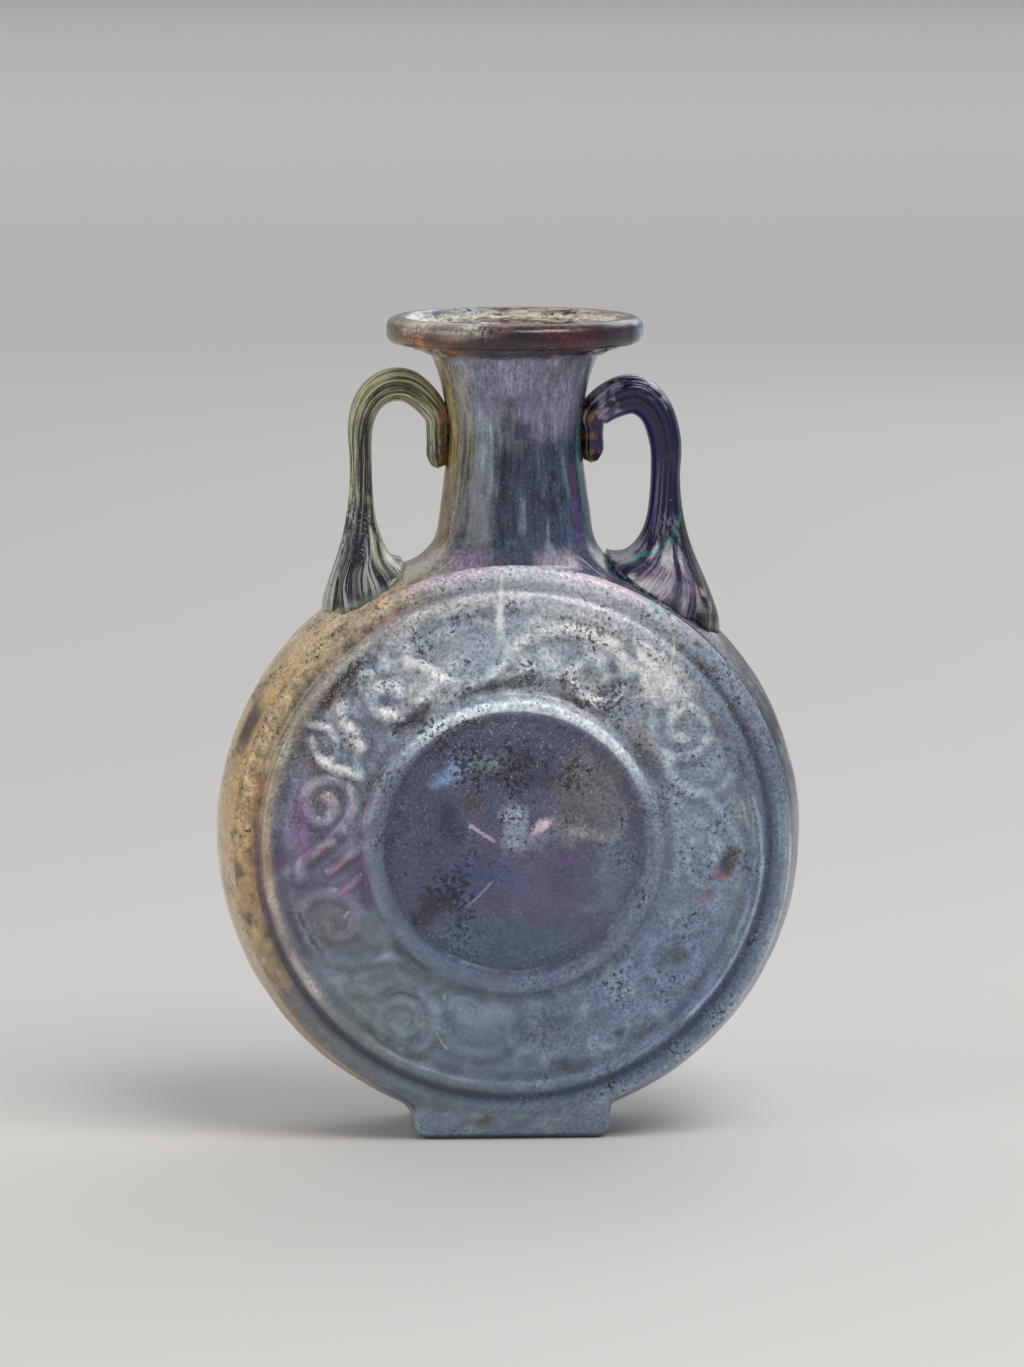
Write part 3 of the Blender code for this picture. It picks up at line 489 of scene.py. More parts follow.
def edge_row(radius, depth, shear, foot):
    """Row of the plate's border, which runs down into the front of the foot."""
    return Row(radius, depth, shear, foot, FOOT_EDGE_RISE, FOOT_HALF_DEPTH + FOOT_FRONT_SWELL,
               FOOT_HALF_WIDTH - 0.3 * FOOT_FRONT_SWELL)


def ring_rows():
    """Rows of the ring round the medallion."""
    rows = [Row(RING_INNER, dome_depth(RING_INNER) - 0.15 * RING_HEIGHT)]
    for share, rise in ((0.30, 0.60), (0.58, 1.0), (0.85, 0.55)):
        radius = RING_INNER + share * RING_WIDTH
        rows.append(Row(radius, dome_depth(radius) + rise * RING_HEIGHT))
    return rows + [Row(RING_OUTER, field_depth(RING_OUTER))]


def border_rows():
    """Rows of the raised border and the edge beyond it."""
    field = field_depth(FIELD_OUTER)
    return [
        Row(FIELD_OUTER, field),
        edge_row(BORDER_RADIUS, field + BORDER_HEIGHT, 0.18, 0.0),
        edge_row(BORDER_RADIUS + 0.28 * BORDER_INSET, field - 0.0006, 0.40, 0.0),
        edge_row(BORDER_RADIUS + 0.60 * BORDER_INSET, field - 0.0003, 0.66, 0.0),
        edge_row(BORDER_RADIUS + 0.88 * BORDER_INSET, field - 0.0009, 0.90, 0.12),
        edge_row(EDGE_RADIUS, EDGE_DEPTH, 1.0, 1.0),
    ]


def band_radius(depth):
    """Radius of the side band, widest at the mould seam."""
    return DISC_RADIUS - BAND_FALL * (depth / BAND_DEPTH) ** 2


def side_rows():
    """Rows of one half of the side, from the edge over the groove to the seam."""
    rows = [
        edge_row(EDGE_RADIUS, EDGE_DEPTH, 1.0, 1.0),
        Row(GROOVE_RADIUS, GROOVE_DEPTH, 1.0, 1.0, 0.3 * FOOT_EDGE_RISE, FOOT_HALF_DEPTH + 0.6
            * FOOT_FRONT_SWELL,
            FOOT_HALF_WIDTH - 0.1 * FOOT_FRONT_SWELL),
    ]
    for share in (1.0, 0.74, 0.40, 0.0):
        depth = share * BAND_DEPTH
        rows.append(Row(band_radius(depth), depth, 1.0, 1.0, 0.0, share * FOOT_HALF_DEPTH, FOOT_HALF_WIDTH))
    return rows


def build_face(skin, side, zone, ridges, lift, steps):
    """One decorated face of the body. It returns the loop along its edge."""
    ring_steps, field_steps, border_steps, dome_steps = steps
    ring = fine_rows(ring_rows(), ring_steps)
    radii = np.linspace(RING_OUTER, FIELD_OUTER, field_steps + 1)[1:-1]
    field = [Row(radius, field_depth(radius)) for radius in radii]
    border = fine_rows(border_rows(), border_steps)

    def relief(x, z):
        heights, near = np.array([ridge.at(x, z) for ridge in ridges]).transpose(1, 0, 2)
        return 0.75 * heights.max(axis=0) + 0.25 * heights.sum(axis=0), near.max(axis=0)

    loops = [row_loop(skin, row, side, FACE_COLUMNS, zone) for row in ring]
    loops += [row_loop(skin, row, side, FACE_COLUMNS, zone, relief) for row in field]
    loops += [row_loop(skin, row, side, FACE_COLUMNS, zone, worn_border) for row in border]
    skin.chain(loops)
    dome = [loops[0]]
    columns = FACE_COLUMNS // 2
    for share in np.linspace(1.0, 0.0, dome_steps + 1)[1:-1]:
        if share < 0.22 * columns / 120.0:
            columns //= 2
        radius = share * RING_INNER
        dip = 0.15 * RING_HEIGHT * ease((share - 0.8) / 0.2)
        dome.append(row_loop(skin, Row(radius, dome_depth(radius) - dip), side, columns, zone, lift))
    skin.chain(dome)
    centre = (0.0, side * dome_depth(0.0), DISC_CENTRE_Z)
    skin.cap(centre, dome[-1], zone)
    return loops[-1]


def band_with_opening(skin, loops, half):
    """Bridge the side rows and leave out the patch at the top. It returns the patch's border."""
    columns = len(loops[0])
    for near, far in zip(loops, loops[1:]):
        for k in range(half, columns - half):
            after = (k + 1) % columns
            skin.faces.append((near[k], near[after], far[after], far[k]))
    front = [loops[0][k % columns] for k in range(-half, half + 1)]
    back = [loops[-1][k % columns] for k in range(half, -half - 1, -1)]
    right = [loop[half] for loop in loops[1:-1]]
    left = [loop[-half % columns] for loop in reversed(loops[1:-1])]
    return front + right + back + left


# The neck and the rim

def neck_radius(z):
    """Outer radius of the neck at a height."""
    if z < WAIST_Z:
        share = (WAIST_Z - z) / (WAIST_Z - SHOULDER_Z - FLARE_HEIGHT)
        return mix(NECK_WAIST_RADIUS, NECK_BASE_RADIUS, min(share, 1.0) ** 1.3)
    share = (z - WAIST_Z) / (RIM_BASE_Z - WAIST_Z)
    return mix(NECK_WAIST_RADIUS, NECK_TOP_RADIUS, min(share, 1.0) ** 1.9)


def neck_loop(skin, border, half, spread, z, radius, zone, ripple=0.0):
    """Loop of the neck; spread is the share of the opening's own shape that it still has."""
    count = len(border)
    positions = []
    for k, index in enumerate(border):
        base = skin.points[index]
        even = 2.0 * math.pi * (k - half) / count
        own = math.atan2(base[0], -base[1])
        own += 2.0 * math.pi * round((even - own) / (2.0 * math.pi))
        turn = mix(even, own, min(1.0, 1.6 * spread))
        wave = math.sin(7.0 * turn + 40.0 * z) + 0.6 * math.sin(17.0 * turn + 1.0)
        size = radius * (1.0 + ripple * (wave - 1.6))
        around = (NECK_SHIFT + size * math.sin(turn), -size * math.cos(turn), z)
        positions.append([mix(a, b, spread) for a, b in zip(around, base)])
    return skin.loop(positions, zone)


def grow_neck(skin, border, half, wall, steps, top, zone):
    """Neck from the opening up to a height. It returns its top loop."""
    last = border
    for s in np.linspace(0.0, 1.0, 10)[1:]:
        z = SHOULDER_Z + 1.75 * FLARE_HEIGHT * s - 0.36 * wall
        radius = neck_radius(z) + 0.0002 * (1.0 - s) - wall
        loop = neck_loop(skin, border, half, (1.0 - s) ** 2.2, z, radius, zone)
        skin.bridge(last, loop)
        last = loop
    for z in np.linspace(z, top, steps + 1)[1:]:
        loop = neck_loop(skin, border, half, 0.0, z, neck_radius(z) - wall, zone, 0.0 if wall else 0.004)
        skin.bridge(last, loop)
        last = loop
    return last


def rim_loops(skin, border, half, last):
    """Flange, roll and the lip folded inside it, down to the bore. It returns the last loop."""
    roll_z = HEIGHT - RIM_ROLL
    flange = mix(NECK_TOP_RADIUS, RIM_RADIUS - RIM_ROLL, 0.72)
    profile = [(NECK_TOP_RADIUS, RIM_BASE_Z), (flange, RIM_BASE_Z + 0.0016)]
    for turn in (-112, -66, -22, 22, 58, 90, 128):
        profile.append((RIM_RADIUS + RIM_ROLL * math.cos(math.radians(turn)),
                        roll_z + RIM_ROLL * math.sin(math.radians(turn))))
    profile += [(RIM_RADIUS - 0.0030, roll_z + 0.0012), (RIM_RADIUS - 0.0044, roll_z + 0.0014),
                (NECK_TOP_RADIUS + 0.0004, roll_z - 0.0012), (NECK_TOP_RADIUS - WALL, RIM_BASE_Z - 0.0012)]
    steps = [2, 2] + [3] * 6 + [2, 2, 2, 2]
    for radius, z in follow(profile, run_lengths(np.array(profile)), steps)[1:]:
        loop = neck_loop(skin, border, half, 0.0, z, radius, "rim", 0.0006)
        skin.bridge(last, loop)
        last = loop
    return last


def inside_rows():
    """Rows of the inner face, from the medallion to the seam."""
    rise = FOOT_FLOOR
    foot_depth = FOOT_HALF_DEPTH + 0.6 * FOOT_FRONT_SWELL - WALL
    half_width = FOOT_HALF_WIDTH - WALL
    field = FIELD_DEPTH - WALL
    return [
        Row(RING_OUTER + 0.0030, field),
        Row(BORDER_RADIUS - 0.0018, field - 1.4 * FIELD_FALL),
        Row(BORDER_RADIUS + 0.0026, field - 0.0019, 0.5, 0.3, rise, foot_depth, half_width),
        Row(GROOVE_RADIUS - 0.0004, GROOVE_DEPTH - 0.0033, 1.0, 1.0, rise, foot_depth - 0.0014, half_width),
        Row(band_radius(0.5 * BAND_DEPTH) - WALL, 0.5 * BAND_DEPTH, 1.0, 1.0, rise, 0.5 * FOOT_HALF_DEPTH,
            half_width),
        Row(DISC_RADIUS - WALL, 0.0, 1.0, 1.0, rise, 0.0, half_width),
    ]


def build_inside(skin):
    """The inner skin. It returns the loop at the top of the inner neck."""
    sides = []
    rows = fine_rows(inside_rows(), (3, 2, 3, 2, 2))
    for side in (-1, 1):
        loops = [row_loop(skin, row, side, INNER_COLUMNS, "inner") for row in rows[:9]]
        skin.chain(loops)
        dome = [loops[0]]
        for share in (0.75, 0.5, 0.25):
            radius = share * RING_OUTER
            dome.append(row_loop(skin, Row(radius, dome_depth(radius) - WALL), side, INNER_COLUMNS, "inner"))
        skin.chain(dome)
        skin.cap((0.0, side * (dome_depth(0.0) - WALL), DISC_CENTRE_Z), dome[-1], "inner")
        band = [row_loop(skin, row, side, INNER_COLUMNS, "inner") for row in rows[9:12]]
        sides.append([loops[-1]] + band)
    seam = row_loop(skin, rows[12], 1, INNER_COLUMNS, "inner")
    half = NECK_HALF_COLUMNS * INNER_COLUMNS // BAND_COLUMNS
    opening = band_with_opening(skin, sides[0] + [seam] + sides[1][::-1], half)
    return grow_neck(skin, opening, half, WALL, 14, RIM_BASE_Z - 0.0030, "inner")


def join_loops(skin, fine, coarse):
    """Triangles between two closed loops of different counts that run the same way from nearby starts."""
    i = j = 0
    while i < len(fine) or j < len(coarse):
        if j >= len(coarse) or (i < len(fine) and (i + 1) * len(coarse) <= (j + 1) * len(fine)):
            skin.faces.append((fine[i % len(fine)], fine[(i + 1) % len(fine)], coarse[j % len(coarse)]))
            i += 1
        else:
            skin.faces.append((fine[i % len(fine)], coarse[(j + 1) % len(coarse)], coarse[j % len(coarse)]))
            j += 1


def build_body_skin():
    """All points and faces of the hollow body."""
    skin = Skin()
    front_steps = ((4, 4, 4, 2), 38, (4, 4, 5, 4, 4), 28)
    back_steps = ((3, 3, 3, 1), 26, (2, 2, 3, 2, 2), 14)
    front = build_face(skin, -1, "front", scroll_ridges(-1), medallion_swell, front_steps)
    back = build_face(skin, 1, "back", scroll_ridges(1), None, back_steps)
    rows = fine_rows(side_rows(), (4, 4, 6, 6, 6))
    halves = []
    for side in (-1, 1):
        loops = []
        for number, row in enumerate(rows[1:-1], 1):
            zone = "groove" if number < 8 else "band"
            marks = (1.0 - abs(number - 4) / 4.0, 0.0) if number < 8 else None
            loops.append(row_loop(skin, row, side, BAND_COLUMNS, zone, None, marks))
        halves.append(loops)
    front_side, back_side = halves
    skin.bridge(front, front_side[0])
    skin.bridge(back, back_side[0])
    seam = row_loop(skin, rows[-1], 1, BAND_COLUMNS, "band")
    opening = band_with_opening(skin, front_side + [seam] + back_side[::-1], NECK_HALF_COLUMNS)
    last = grow_neck(skin, opening, NECK_HALF_COLUMNS, 0.0, 46, RIM_BASE_Z, "neck")
    last = rim_loops(skin, opening, NECK_HALF_COLUMNS, last)
    inner_top = build_inside(skin)
    join_loops(skin, last, inner_top)
    roughen(skin)
    return skin


def roughen(skin):
    """Uneven surface of blown glass: soft swells on the faces and small dips everywhere else."""
    points = np.array(skin.points)
    zones = np.array(skin.zones)
    wide = cloud(points, 0.013, 61, 2)
    fine = cloud(points, 0.0045, 62, 2)
    drawn = cloud(points * np.array((1.0, 1.0, 0.15)), 0.0040, 63, 2)
    lift = 0.00042 * wide + 0.00016 * fine
    above = ease((points[:, 2] - 0.004) / 0.008)
    faces = np.isin(zones, ("front", "back"))
    points[:, 1] += np.where(faces, np.sign(points[:, 1]) * lift * above, 0.0)
    sides = np.isin(zones, ("band", "groove"))
    dip = np.where(sides, 0.00022 * (1.0 + wide) + 0.00008 * (1.0 + fine), 0.0) * above
    from_centre = points[:, (0, 2)] - (0.0, DISC_CENTRE_Z)
    points[:, (0, 2)] -= from_centre / DISC_RADIUS * dip[:, None]
    neck = np.isin(zones, ("neck", "rim"))
    dip = np.where(neck, 0.00016 * (1.0 + drawn) + 0.00006 * (1.0 + fine), 0.0)
    from_axis = points[:, :2] - (NECK_SHIFT, 0.0)
    points[:, :2] -= from_axis / NECK_WAIST_RADIUS * dip[:, None] * 0.7
    lip = (zones == "rim") * ease((0.0232 - np.hypot(from_axis[:, 0], from_axis[:, 1])) / 0.0012)
    crust = cloud(points, 0.0021, 64, 3)
    points[:, 2] -= lip * 0.00045 * (1.0 + crust)
    skin.points = [tuple(point) for point in points]


# The handles

def handle_keys(handle):
    """Points of the centre-line: distance from the axis, height, width in the picture plane, depth and lean.

    The lean is the angle in radians by which the fan's sections tip down and outward, onto the shoulder.
    """
    def beside_neck(z, share):
        return neck_radius(z) + handle.side * NECK_SHIFT + share * handle.hook

    edge = beside_neck(handle.crown_z - handle.crown, 0.0)
    base_middle = 0.5 * (handle.base_inner + handle.base_outer)
    tilt = math.asin(base_middle / DISC_RADIUS)
    base_width = (handle.base_outer - handle.base_inner) / math.cos(tilt)
    outward = np.array((math.sin(tilt), math.cos(tilt)))
    base = np.array((0.0, DISC_CENTRE_Z)) + (DISC_RADIUS - 0.0004) * outward
    arch_z = handle.crown_z - 0.62 * handle.crown
    bend_z = handle.crown_z - 1.75 * handle.crown
    leg = bend_z - base[1]
    low = base + HANDLE_BASE_THICKNESS * np.array((0.2, 1.1))
    hook_z = handle.hook_z
    hook_top = hook_z + HANDLE_HOOK_RISE
    keys = [
        (beside_neck(hook_z, 0.32), hook_z, 0.62 * handle.hook, 0.52),
        (beside_neck(hook_z, 0.34), mix(hook_z, hook_top, 0.37), 1.06 * handle.hook, 0.84),
        (beside_neck(hook_z, 0.36), hook_top, handle.hook, 0.93),
        (edge + 0.24 * handle.crown, mix(hook_top, arch_z, 0.5), 0.78 * handle.crown, 1.02),
        (mix(edge, handle.reach, 0.36), arch_z, 0.96 * handle.crown, 1.07),
        (mix(edge, handle.reach, 0.64), handle.crown_z - 0.50 * handle.crown, handle.crown, 1.07),
        (mix(edge, handle.reach, 0.88), handle.crown_z - 0.92 * handle.crown, 0.88 * handle.crown, 1.05),
        (handle.reach, bend_z, mix(handle.leg, handle.crown, 0.25), 1.00),
        (handle.reach, base[1] + 0.74 * leg, handle.leg, 0.98),
    ]
    keys = [(x, z, width, share * HANDLE_DEPTH, 0.0) for x, z, width, share in keys]
    return keys + [
        (handle.reach, base[1] + 0.48 * leg, mix(handle.leg, base_width, 0.07), 1.12 * HANDLE_DEPTH, 0.08
         * tilt),
        (handle.reach, base[1] + 0.29 * leg, mix(handle.leg, base_width, 0.25), 1.50 * HANDLE_DEPTH, 0.40
         * tilt),
        (low[0], low[1], mix(handle.leg, base_width, 0.60), 0.68 * HANDLE_BASE_DEPTH, 0.72 * tilt),
        (base[0], base[1], base_width, HANDLE_BASE_DEPTH, tilt),
    ]


def section_direction(slope, lean):
    """Direction across the rod: square to its run, or tipped down and outward in the fan."""
    if lean > 0.0:
        return np.array((math.cos(lean), -math.sin(lean)))
    ahead = slope / np.linalg.norm(slope)
    return np.array((-ahead[1], ahead[0]))


def smooth_path(keys, steps):
    """Smooth curve through the keys, and how far along it each station is, from 0 to 1."""
    path = curve_through(keys, steps)
    lengths = run_lengths(path)
    return path, lengths / lengths[-1]


def rounded(value, power):
    """Sine or cosine drawn out a little, which turns an oval into a softer box."""
    return math.copysign(abs(value) ** power, value)


def rib_bend(share, twist):
    """Angle by which the drawn ribs have turned round the rod at a share of its length."""
    return twist * np.sin(3.0 * share + 0.4)


def rib_lift(turn, share, twist):
    """Height of the drawn ribs at an angle round the rod, from -1 to 1, at a share of its length."""
    bend = turn + rib_bend(share, twist)
    return (0.35 * math.cos(8.0 * bend + 0.6) + 0.30 * math.cos(13.0 * bend + 1.9) + 0.15
            * math.cos(5.0 * bend)
            + 0.20 * math.cos(22.0 * bend + 0.9))


def onto_band(side, x, y, lift):
    """Point of the side band under a place in the handle's base."""
    radius = band_radius(min(abs(y), BAND_DEPTH)) + lift
    return (side * x, y, DISC_CENTRE_Z + math.sqrt(max(radius ** 2 - x ** 2, 0.0)))


def build_handle_skin(handle):
    """Points and faces of one handle; marks are the shares along the rod and round it."""
    path, shares = smooth_path(handle_keys(handle), HANDLE_STEPS)
    slopes = np.gradient(path[:, :2], axis=0)
    skin = Skin()
    loops = []
    low_share = shares[-1 - HANDLE_STEPS]
    for (x, z, width, depth, lean), slope, share in zip(path, slopes, shares):
        across = section_direction(slope, lean)
        settle = max(0.0, (share - low_share) / (1.0 - low_share)) ** 1.5
        flare = float(ease((depth - HANDLE_DEPTH) / (0.9 * HANDLE_BASE_DEPTH - HANDLE_DEPTH)))
        power = mix(0.88, 0.64, flare)
        ring = []
        marks = []
        for k in range(HANDLE_SIDES):
            turn = 2.0 * math.pi * k / HANDLE_SIDES
            off = (turn - math.radians(handle.notch_turn) + math.pi) % (2.0 * math.pi) - math.pi
            notch = handle.notch * flare ** 1.5 * math.exp(-(off / 0.15) ** 2)
            lift = RIB_HEIGHT * rib_lift(turn, share, handle.twist)
            across_size = (0.5 * width * (1.0 - notch) + lift) * rounded(math.cos(turn), power)
            y = (0.5 * depth * (1.0 - notch) + lift) * rounded(math.sin(turn), power)
            place = np.array((x, z)) + across * across_size
            reach = place - (0.0, DISC_CENTRE_Z)
            drop = settle * (DISC_RADIUS - band_radius(min(abs(y), BAND_DEPTH)))
            place = place - drop * reach / np.linalg.norm(reach)
            if share == 1.0:
                ring.append(onto_band(handle.side, place[0], y, -0.0004))
            else:
                ring.append((handle.side * place[0], y, place[1]))
            marks.append((share, k / HANDLE_SIDES))
        loops.append(skin.loop(ring, "rod", marks))
    skin.chain(loops)
    for loop, mark, drop in ((loops[0], (0.0, 0.5), 0.0008), (loops[-1], (1.0, 0.5), 0.0)):
        middle = np.mean([skin.points[k] for k in loop], axis=0) - (0.0, 0.0, drop)
        skin.cap(middle, loop, "rod")
        skin.marks[-1] = mark
    return skin


# Painting: a base colour for each point, from tones listed one by one and softened by noise
# The tones were judged, with the average colours of some spots of the photograph as first notes

Patch = namedtuple("Patch", "x z wide tall turn tone strength")
Line = namedtuple("Line", "places width tone strength")
# A mark lies in a window of angle and one of level, each with its soft edge, and noise breaks it up:
# rough holds a base and the shares of the middling, small and drawn noise; sway adds the middling noise
Mark = namedtuple("Mark", "zones tone strength turn level rough sway", defaults=(None, None, None, 0.0))

# Tones round the face by the angle in degrees clockwise from the top, as screen colours
FRIEZE_TONES = {0: (172, 186, 202), 45: (140, 153, 170), 90: (122, 138, 160), 135: (112, 130, 160),
                180: (108, 124, 146), 225: (112, 126, 136), 265: (112, 108, 132), 300: (116, 122, 140),
                330: (142, 156, 172)}
BORDER_TONES = {0: (198, 204, 216), 22: (200, 202, 216), 45: (138, 150, 168), 70: (106, 120, 142),
                100: (100, 116, 144), 140: (98, 114, 142), 180: (102, 118, 134), 215: (114, 124, 130),
                240: (118, 112, 114), 262: (146, 124, 106), 285: (138, 124, 100), 310: (122, 116, 104),
                338: (158, 162, 168)}
# Tones of the groove, laid darkest where it is deepest: painted shade in the groove, with the glass's own
# browns at the left
GROOVE_TONES_AND_SHADE = {0: (118, 114, 122), 30: (50, 58, 74), 60: (22, 28, 42), 120: (12, 17, 32), 160: (22, 32, 46),
                200: (20, 36, 44), 225: (15, 15, 17), 250: (62, 42, 24), 290: (112, 84, 52),
                320: (104, 88, 64), 345: (116, 104, 92)}
BAND_TONES = {0: (112, 114, 122), 20: (62, 70, 90), 45: (34, 42, 62), 70: (40, 50, 74), 95: (84, 90, 112),
              130: (112, 114, 132), 155: (86, 96, 108), 180: (74, 84, 88), 205: (90, 96, 98),
              222: (158, 138, 122), 250: (192, 164, 120), 275: (206, 174, 122), 300: (206, 170, 112),
              325: (184, 158, 118), 345: (146, 134, 116)}
# Tones round the neck and the rim by the angle from the front, toward the right
NECK_TONES = {0: (60, 68, 86), 25: (68, 78, 100), 48: (62, 76, 104), 66: (46, 60, 86), 90: (34, 44, 72),
              135: (52, 62, 84), 180: (70, 80, 100), 225: (92, 98, 106), 265: (142, 118, 82),
              292: (136, 120, 90), 306: (132, 132, 130), 326: (90, 98, 112), 345: (64, 70, 88)}
RIM_TONES = {0: (46, 36, 42), 25: (74, 32, 33), 50: (38, 29, 43), 75: (34, 34, 58), 95: (62, 76, 112),
             110: (58, 48, 58), 150: (96, 54, 50), 180: (92, 60, 62), 225: (120, 112, 114),
             262: (120, 114, 78), 282: (114, 106, 72), 300: (132, 92, 62), 322: (108, 70, 56),
             342: (58, 42, 44)}

# Tones of the shoulder by the angle from the top of the disc
SHOULDER_TONES = {0: (70, 78, 96), 12: (60, 70, 92), 20: (66, 74, 94), 335: (150, 136, 112),
                  345: (134, 130, 124)}

# Marks of the faces and of the front's edge, by the angle from the top and the distance from the centre
FAR = 999.0
PLATE_MARKS = (
    Mark("front back", (186, 158, 112), 0.65, (290, 38, 22), (53.0, 57.6, 0.8), sway=0.3),
    Mark("front back", (208, 184, 136), 0.60, (290, 38, 22), (53.0, 57.6, 0.8), (-0.1, 0.0, 2.4)),
    Mark("front back", (76, 60, 46), 0.60, (290, 38, 22), (53.0, 57.6, 0.8), (-0.3, 0.0, -2.4)),
)
BORDER_MARKS = (
    # Painted highlight: a pale line along the border's crest at the left
    Mark("front back", (212, 206, 196), 0.35, (300, 60, 30), (50.6, 51.6, 0.7), sway=0.4),
    # Painted highlights, tinted pink, along the top of the front's edge beside the neck
    Mark("front", (232, 186, 222), 0.35, (348, 7, 5), (56.6, FAR, 1.2)),
    Mark("front", (226, 206, 216), 0.60, (19, 7, 4), (56.6, FAR, 1.2)),
    # Painted highlight: a bright line along the right edge
    Mark("front", (226, 236, 244), 0.25, (124, 34, 14), (56.6, FAR, 1.2)),
    Mark("front", (206, 142, 128), 0.30, (270, 10, 10), (52.6, 56.0, 1.0), (0.3, 0.0, 1.0)),
    Mark("front", (196, 150, 172), 0.40, (322, 10, 9), (52.6, 56.0, 1.0), (-0.2, 0.0, 1.4)),
    # Painted shade: a dark line in the channel beyond the border, round the right, the bottom and the lower
    # left
    Mark("front back", (44, 54, 80), 0.70, (160, 110, 20), (52.5, 53.3, 0.7)),
    Mark("front", (64, 50, 42), 0.85, (52, 12, 8), (52.6, 56.0, 1.0), (-0.2, 0.0, 2.0)),
)
# Marks of the side band, by the angle from the top and the distance from the mould seam
BAND_MARKS = (
    Mark("band groove", (112, 86, 56), 0.55, (285, 45, 20), None, (-0.2, 1.6)),
    Mark("band groove", (74, 52, 34), 1.00, (294, 2, 5), (9.0, 13.0, 3.0)),
    Mark("band groove", (140, 160, 168), 0.45, (62, 36, 14), None, (-0.35, 0.7, 2.2)),
    Mark("band groove", (40, 30, 26), 0.85, (62, 36, 14), None, (-0.15, -1.8)),
    Mark("band groove", (152, 150, 166), 0.50, (112, 26, 12), None, (0.4, -1.0)),
    Mark("band groove", (190, 130, 60), 0.80, (222, 8, 8), (12.4, 14.4, 1.0)),
)
# Marks of the neck and of the rim, by the angle from the front toward the right and the height
NECK_FRONT = (5, 46, 20)
NECK_MARKS = (
    Mark("neck", (128, 116, 164), 0.50, (22, 16, 14), (148.0, 153.0, 4.0)),
    Mark("neck", (110, 126, 124), 0.40, (340, 16, 12), (144.0, 149.0, 4.0)),
    Mark("neck", (84, 100, 122), 0.45, NECK_FRONT, (-FAR, 120.0, 12.0), sway=0.8),
    Mark("neck", (32, 36, 50), 0.80, NECK_FRONT, (124.0, 140.0, 7.0), (0.15, 1.5, 0.9)),
    Mark("neck", (44, 52, 78), 0.50, NECK_FRONT, (141.0, 146.0, 1.6), (0.1, 1.8)),
    Mark("neck", (46, 52, 72), 0.70, (348.5, 3, 4), (147.6, 149.8, 1.2)),
    Mark("neck", (44, 50, 72), 0.80, (2, 4, 4), (146.0, 148.4, 1.2)),
    Mark("neck", (150, 172, 184), 0.35, NECK_FRONT, None, (-0.55, 0.0, 0.0, 2.0)),
    Mark("neck", (28, 32, 44), 0.75, (347, 1.5, 2), (117.0, 142.0, 3.0)),
    Mark("neck", (70, 128, 116), 0.60, (63, 2.5, 4), None, (0.5, 0.0, 0.0, 1.6)),
    Mark("neck", (108, 72, 122), 0.55, (53, 2.5, 4), (118.0, 138.0, 4.0)),
    Mark("neck", (196, 168, 96), 0.70, (280, 16, 8), (142.0, FAR, 8.0), (0.1, 0.0, 0.0, 1.8)),
    Mark("neck", (150, 124, 104), 0.60, (280, 16, 8), (-FAR, 128.0, 6.0)),
)
# Brown crust where the handles' hooks lie on the neck
CRUST_MARKS = (
    Mark("neck", (150, 98, 34), 1.00, (268, 14, 5), (137.0, 152.0, 2.0), (0.5, 0.0, 2.2)),
    Mark("neck", (150, 98, 34), 1.00, (92, 14, 5), (136.0, 151.0, 2.0), (0.5, 0.0, 2.2)),
    Mark("neck", (40, 26, 16), 0.80, (268, 14, 5), (137.0, 152.0, 2.0), (0.1, 0.0, -2.4)),
    Mark("neck", (40, 26, 16), 0.80, (92, 14, 5), (136.0, 151.0, 2.0), (0.1, 0.0, -2.4)),
)
RIM_MARKS = (
    Mark("rim", (30, 24, 30), 0.60, (10, 75, 20), None, (-0.1, -1.6, 0.7)),
    Mark("rim", (128, 96, 88), 0.55, (345, 25, 10), None, (-0.7, 2.2, 0.6)),
    Mark("rim", (188, 128, 92), 0.75, (317, 8, 7), (-FAR, 166.0, 1.4), (0.1, 1.6, 0.9)),
    Mark("rim", (184, 180, 170), 0.60, (318, 18, 12), (168.2, FAR, 1.2), sway=0.5),
    Mark("rim", (104, 42, 38), 0.50, (11, 7, 6), None, (-0.1, 0.0, 1.6)),
    # Painted glint: a bright blue crescent at the rim's right end
    Mark("rim", (120, 168, 214), 0.75, (77, 2, 11), (166.0, 169.0, 1.0), (0.8, 0.8, 1.6)),
)
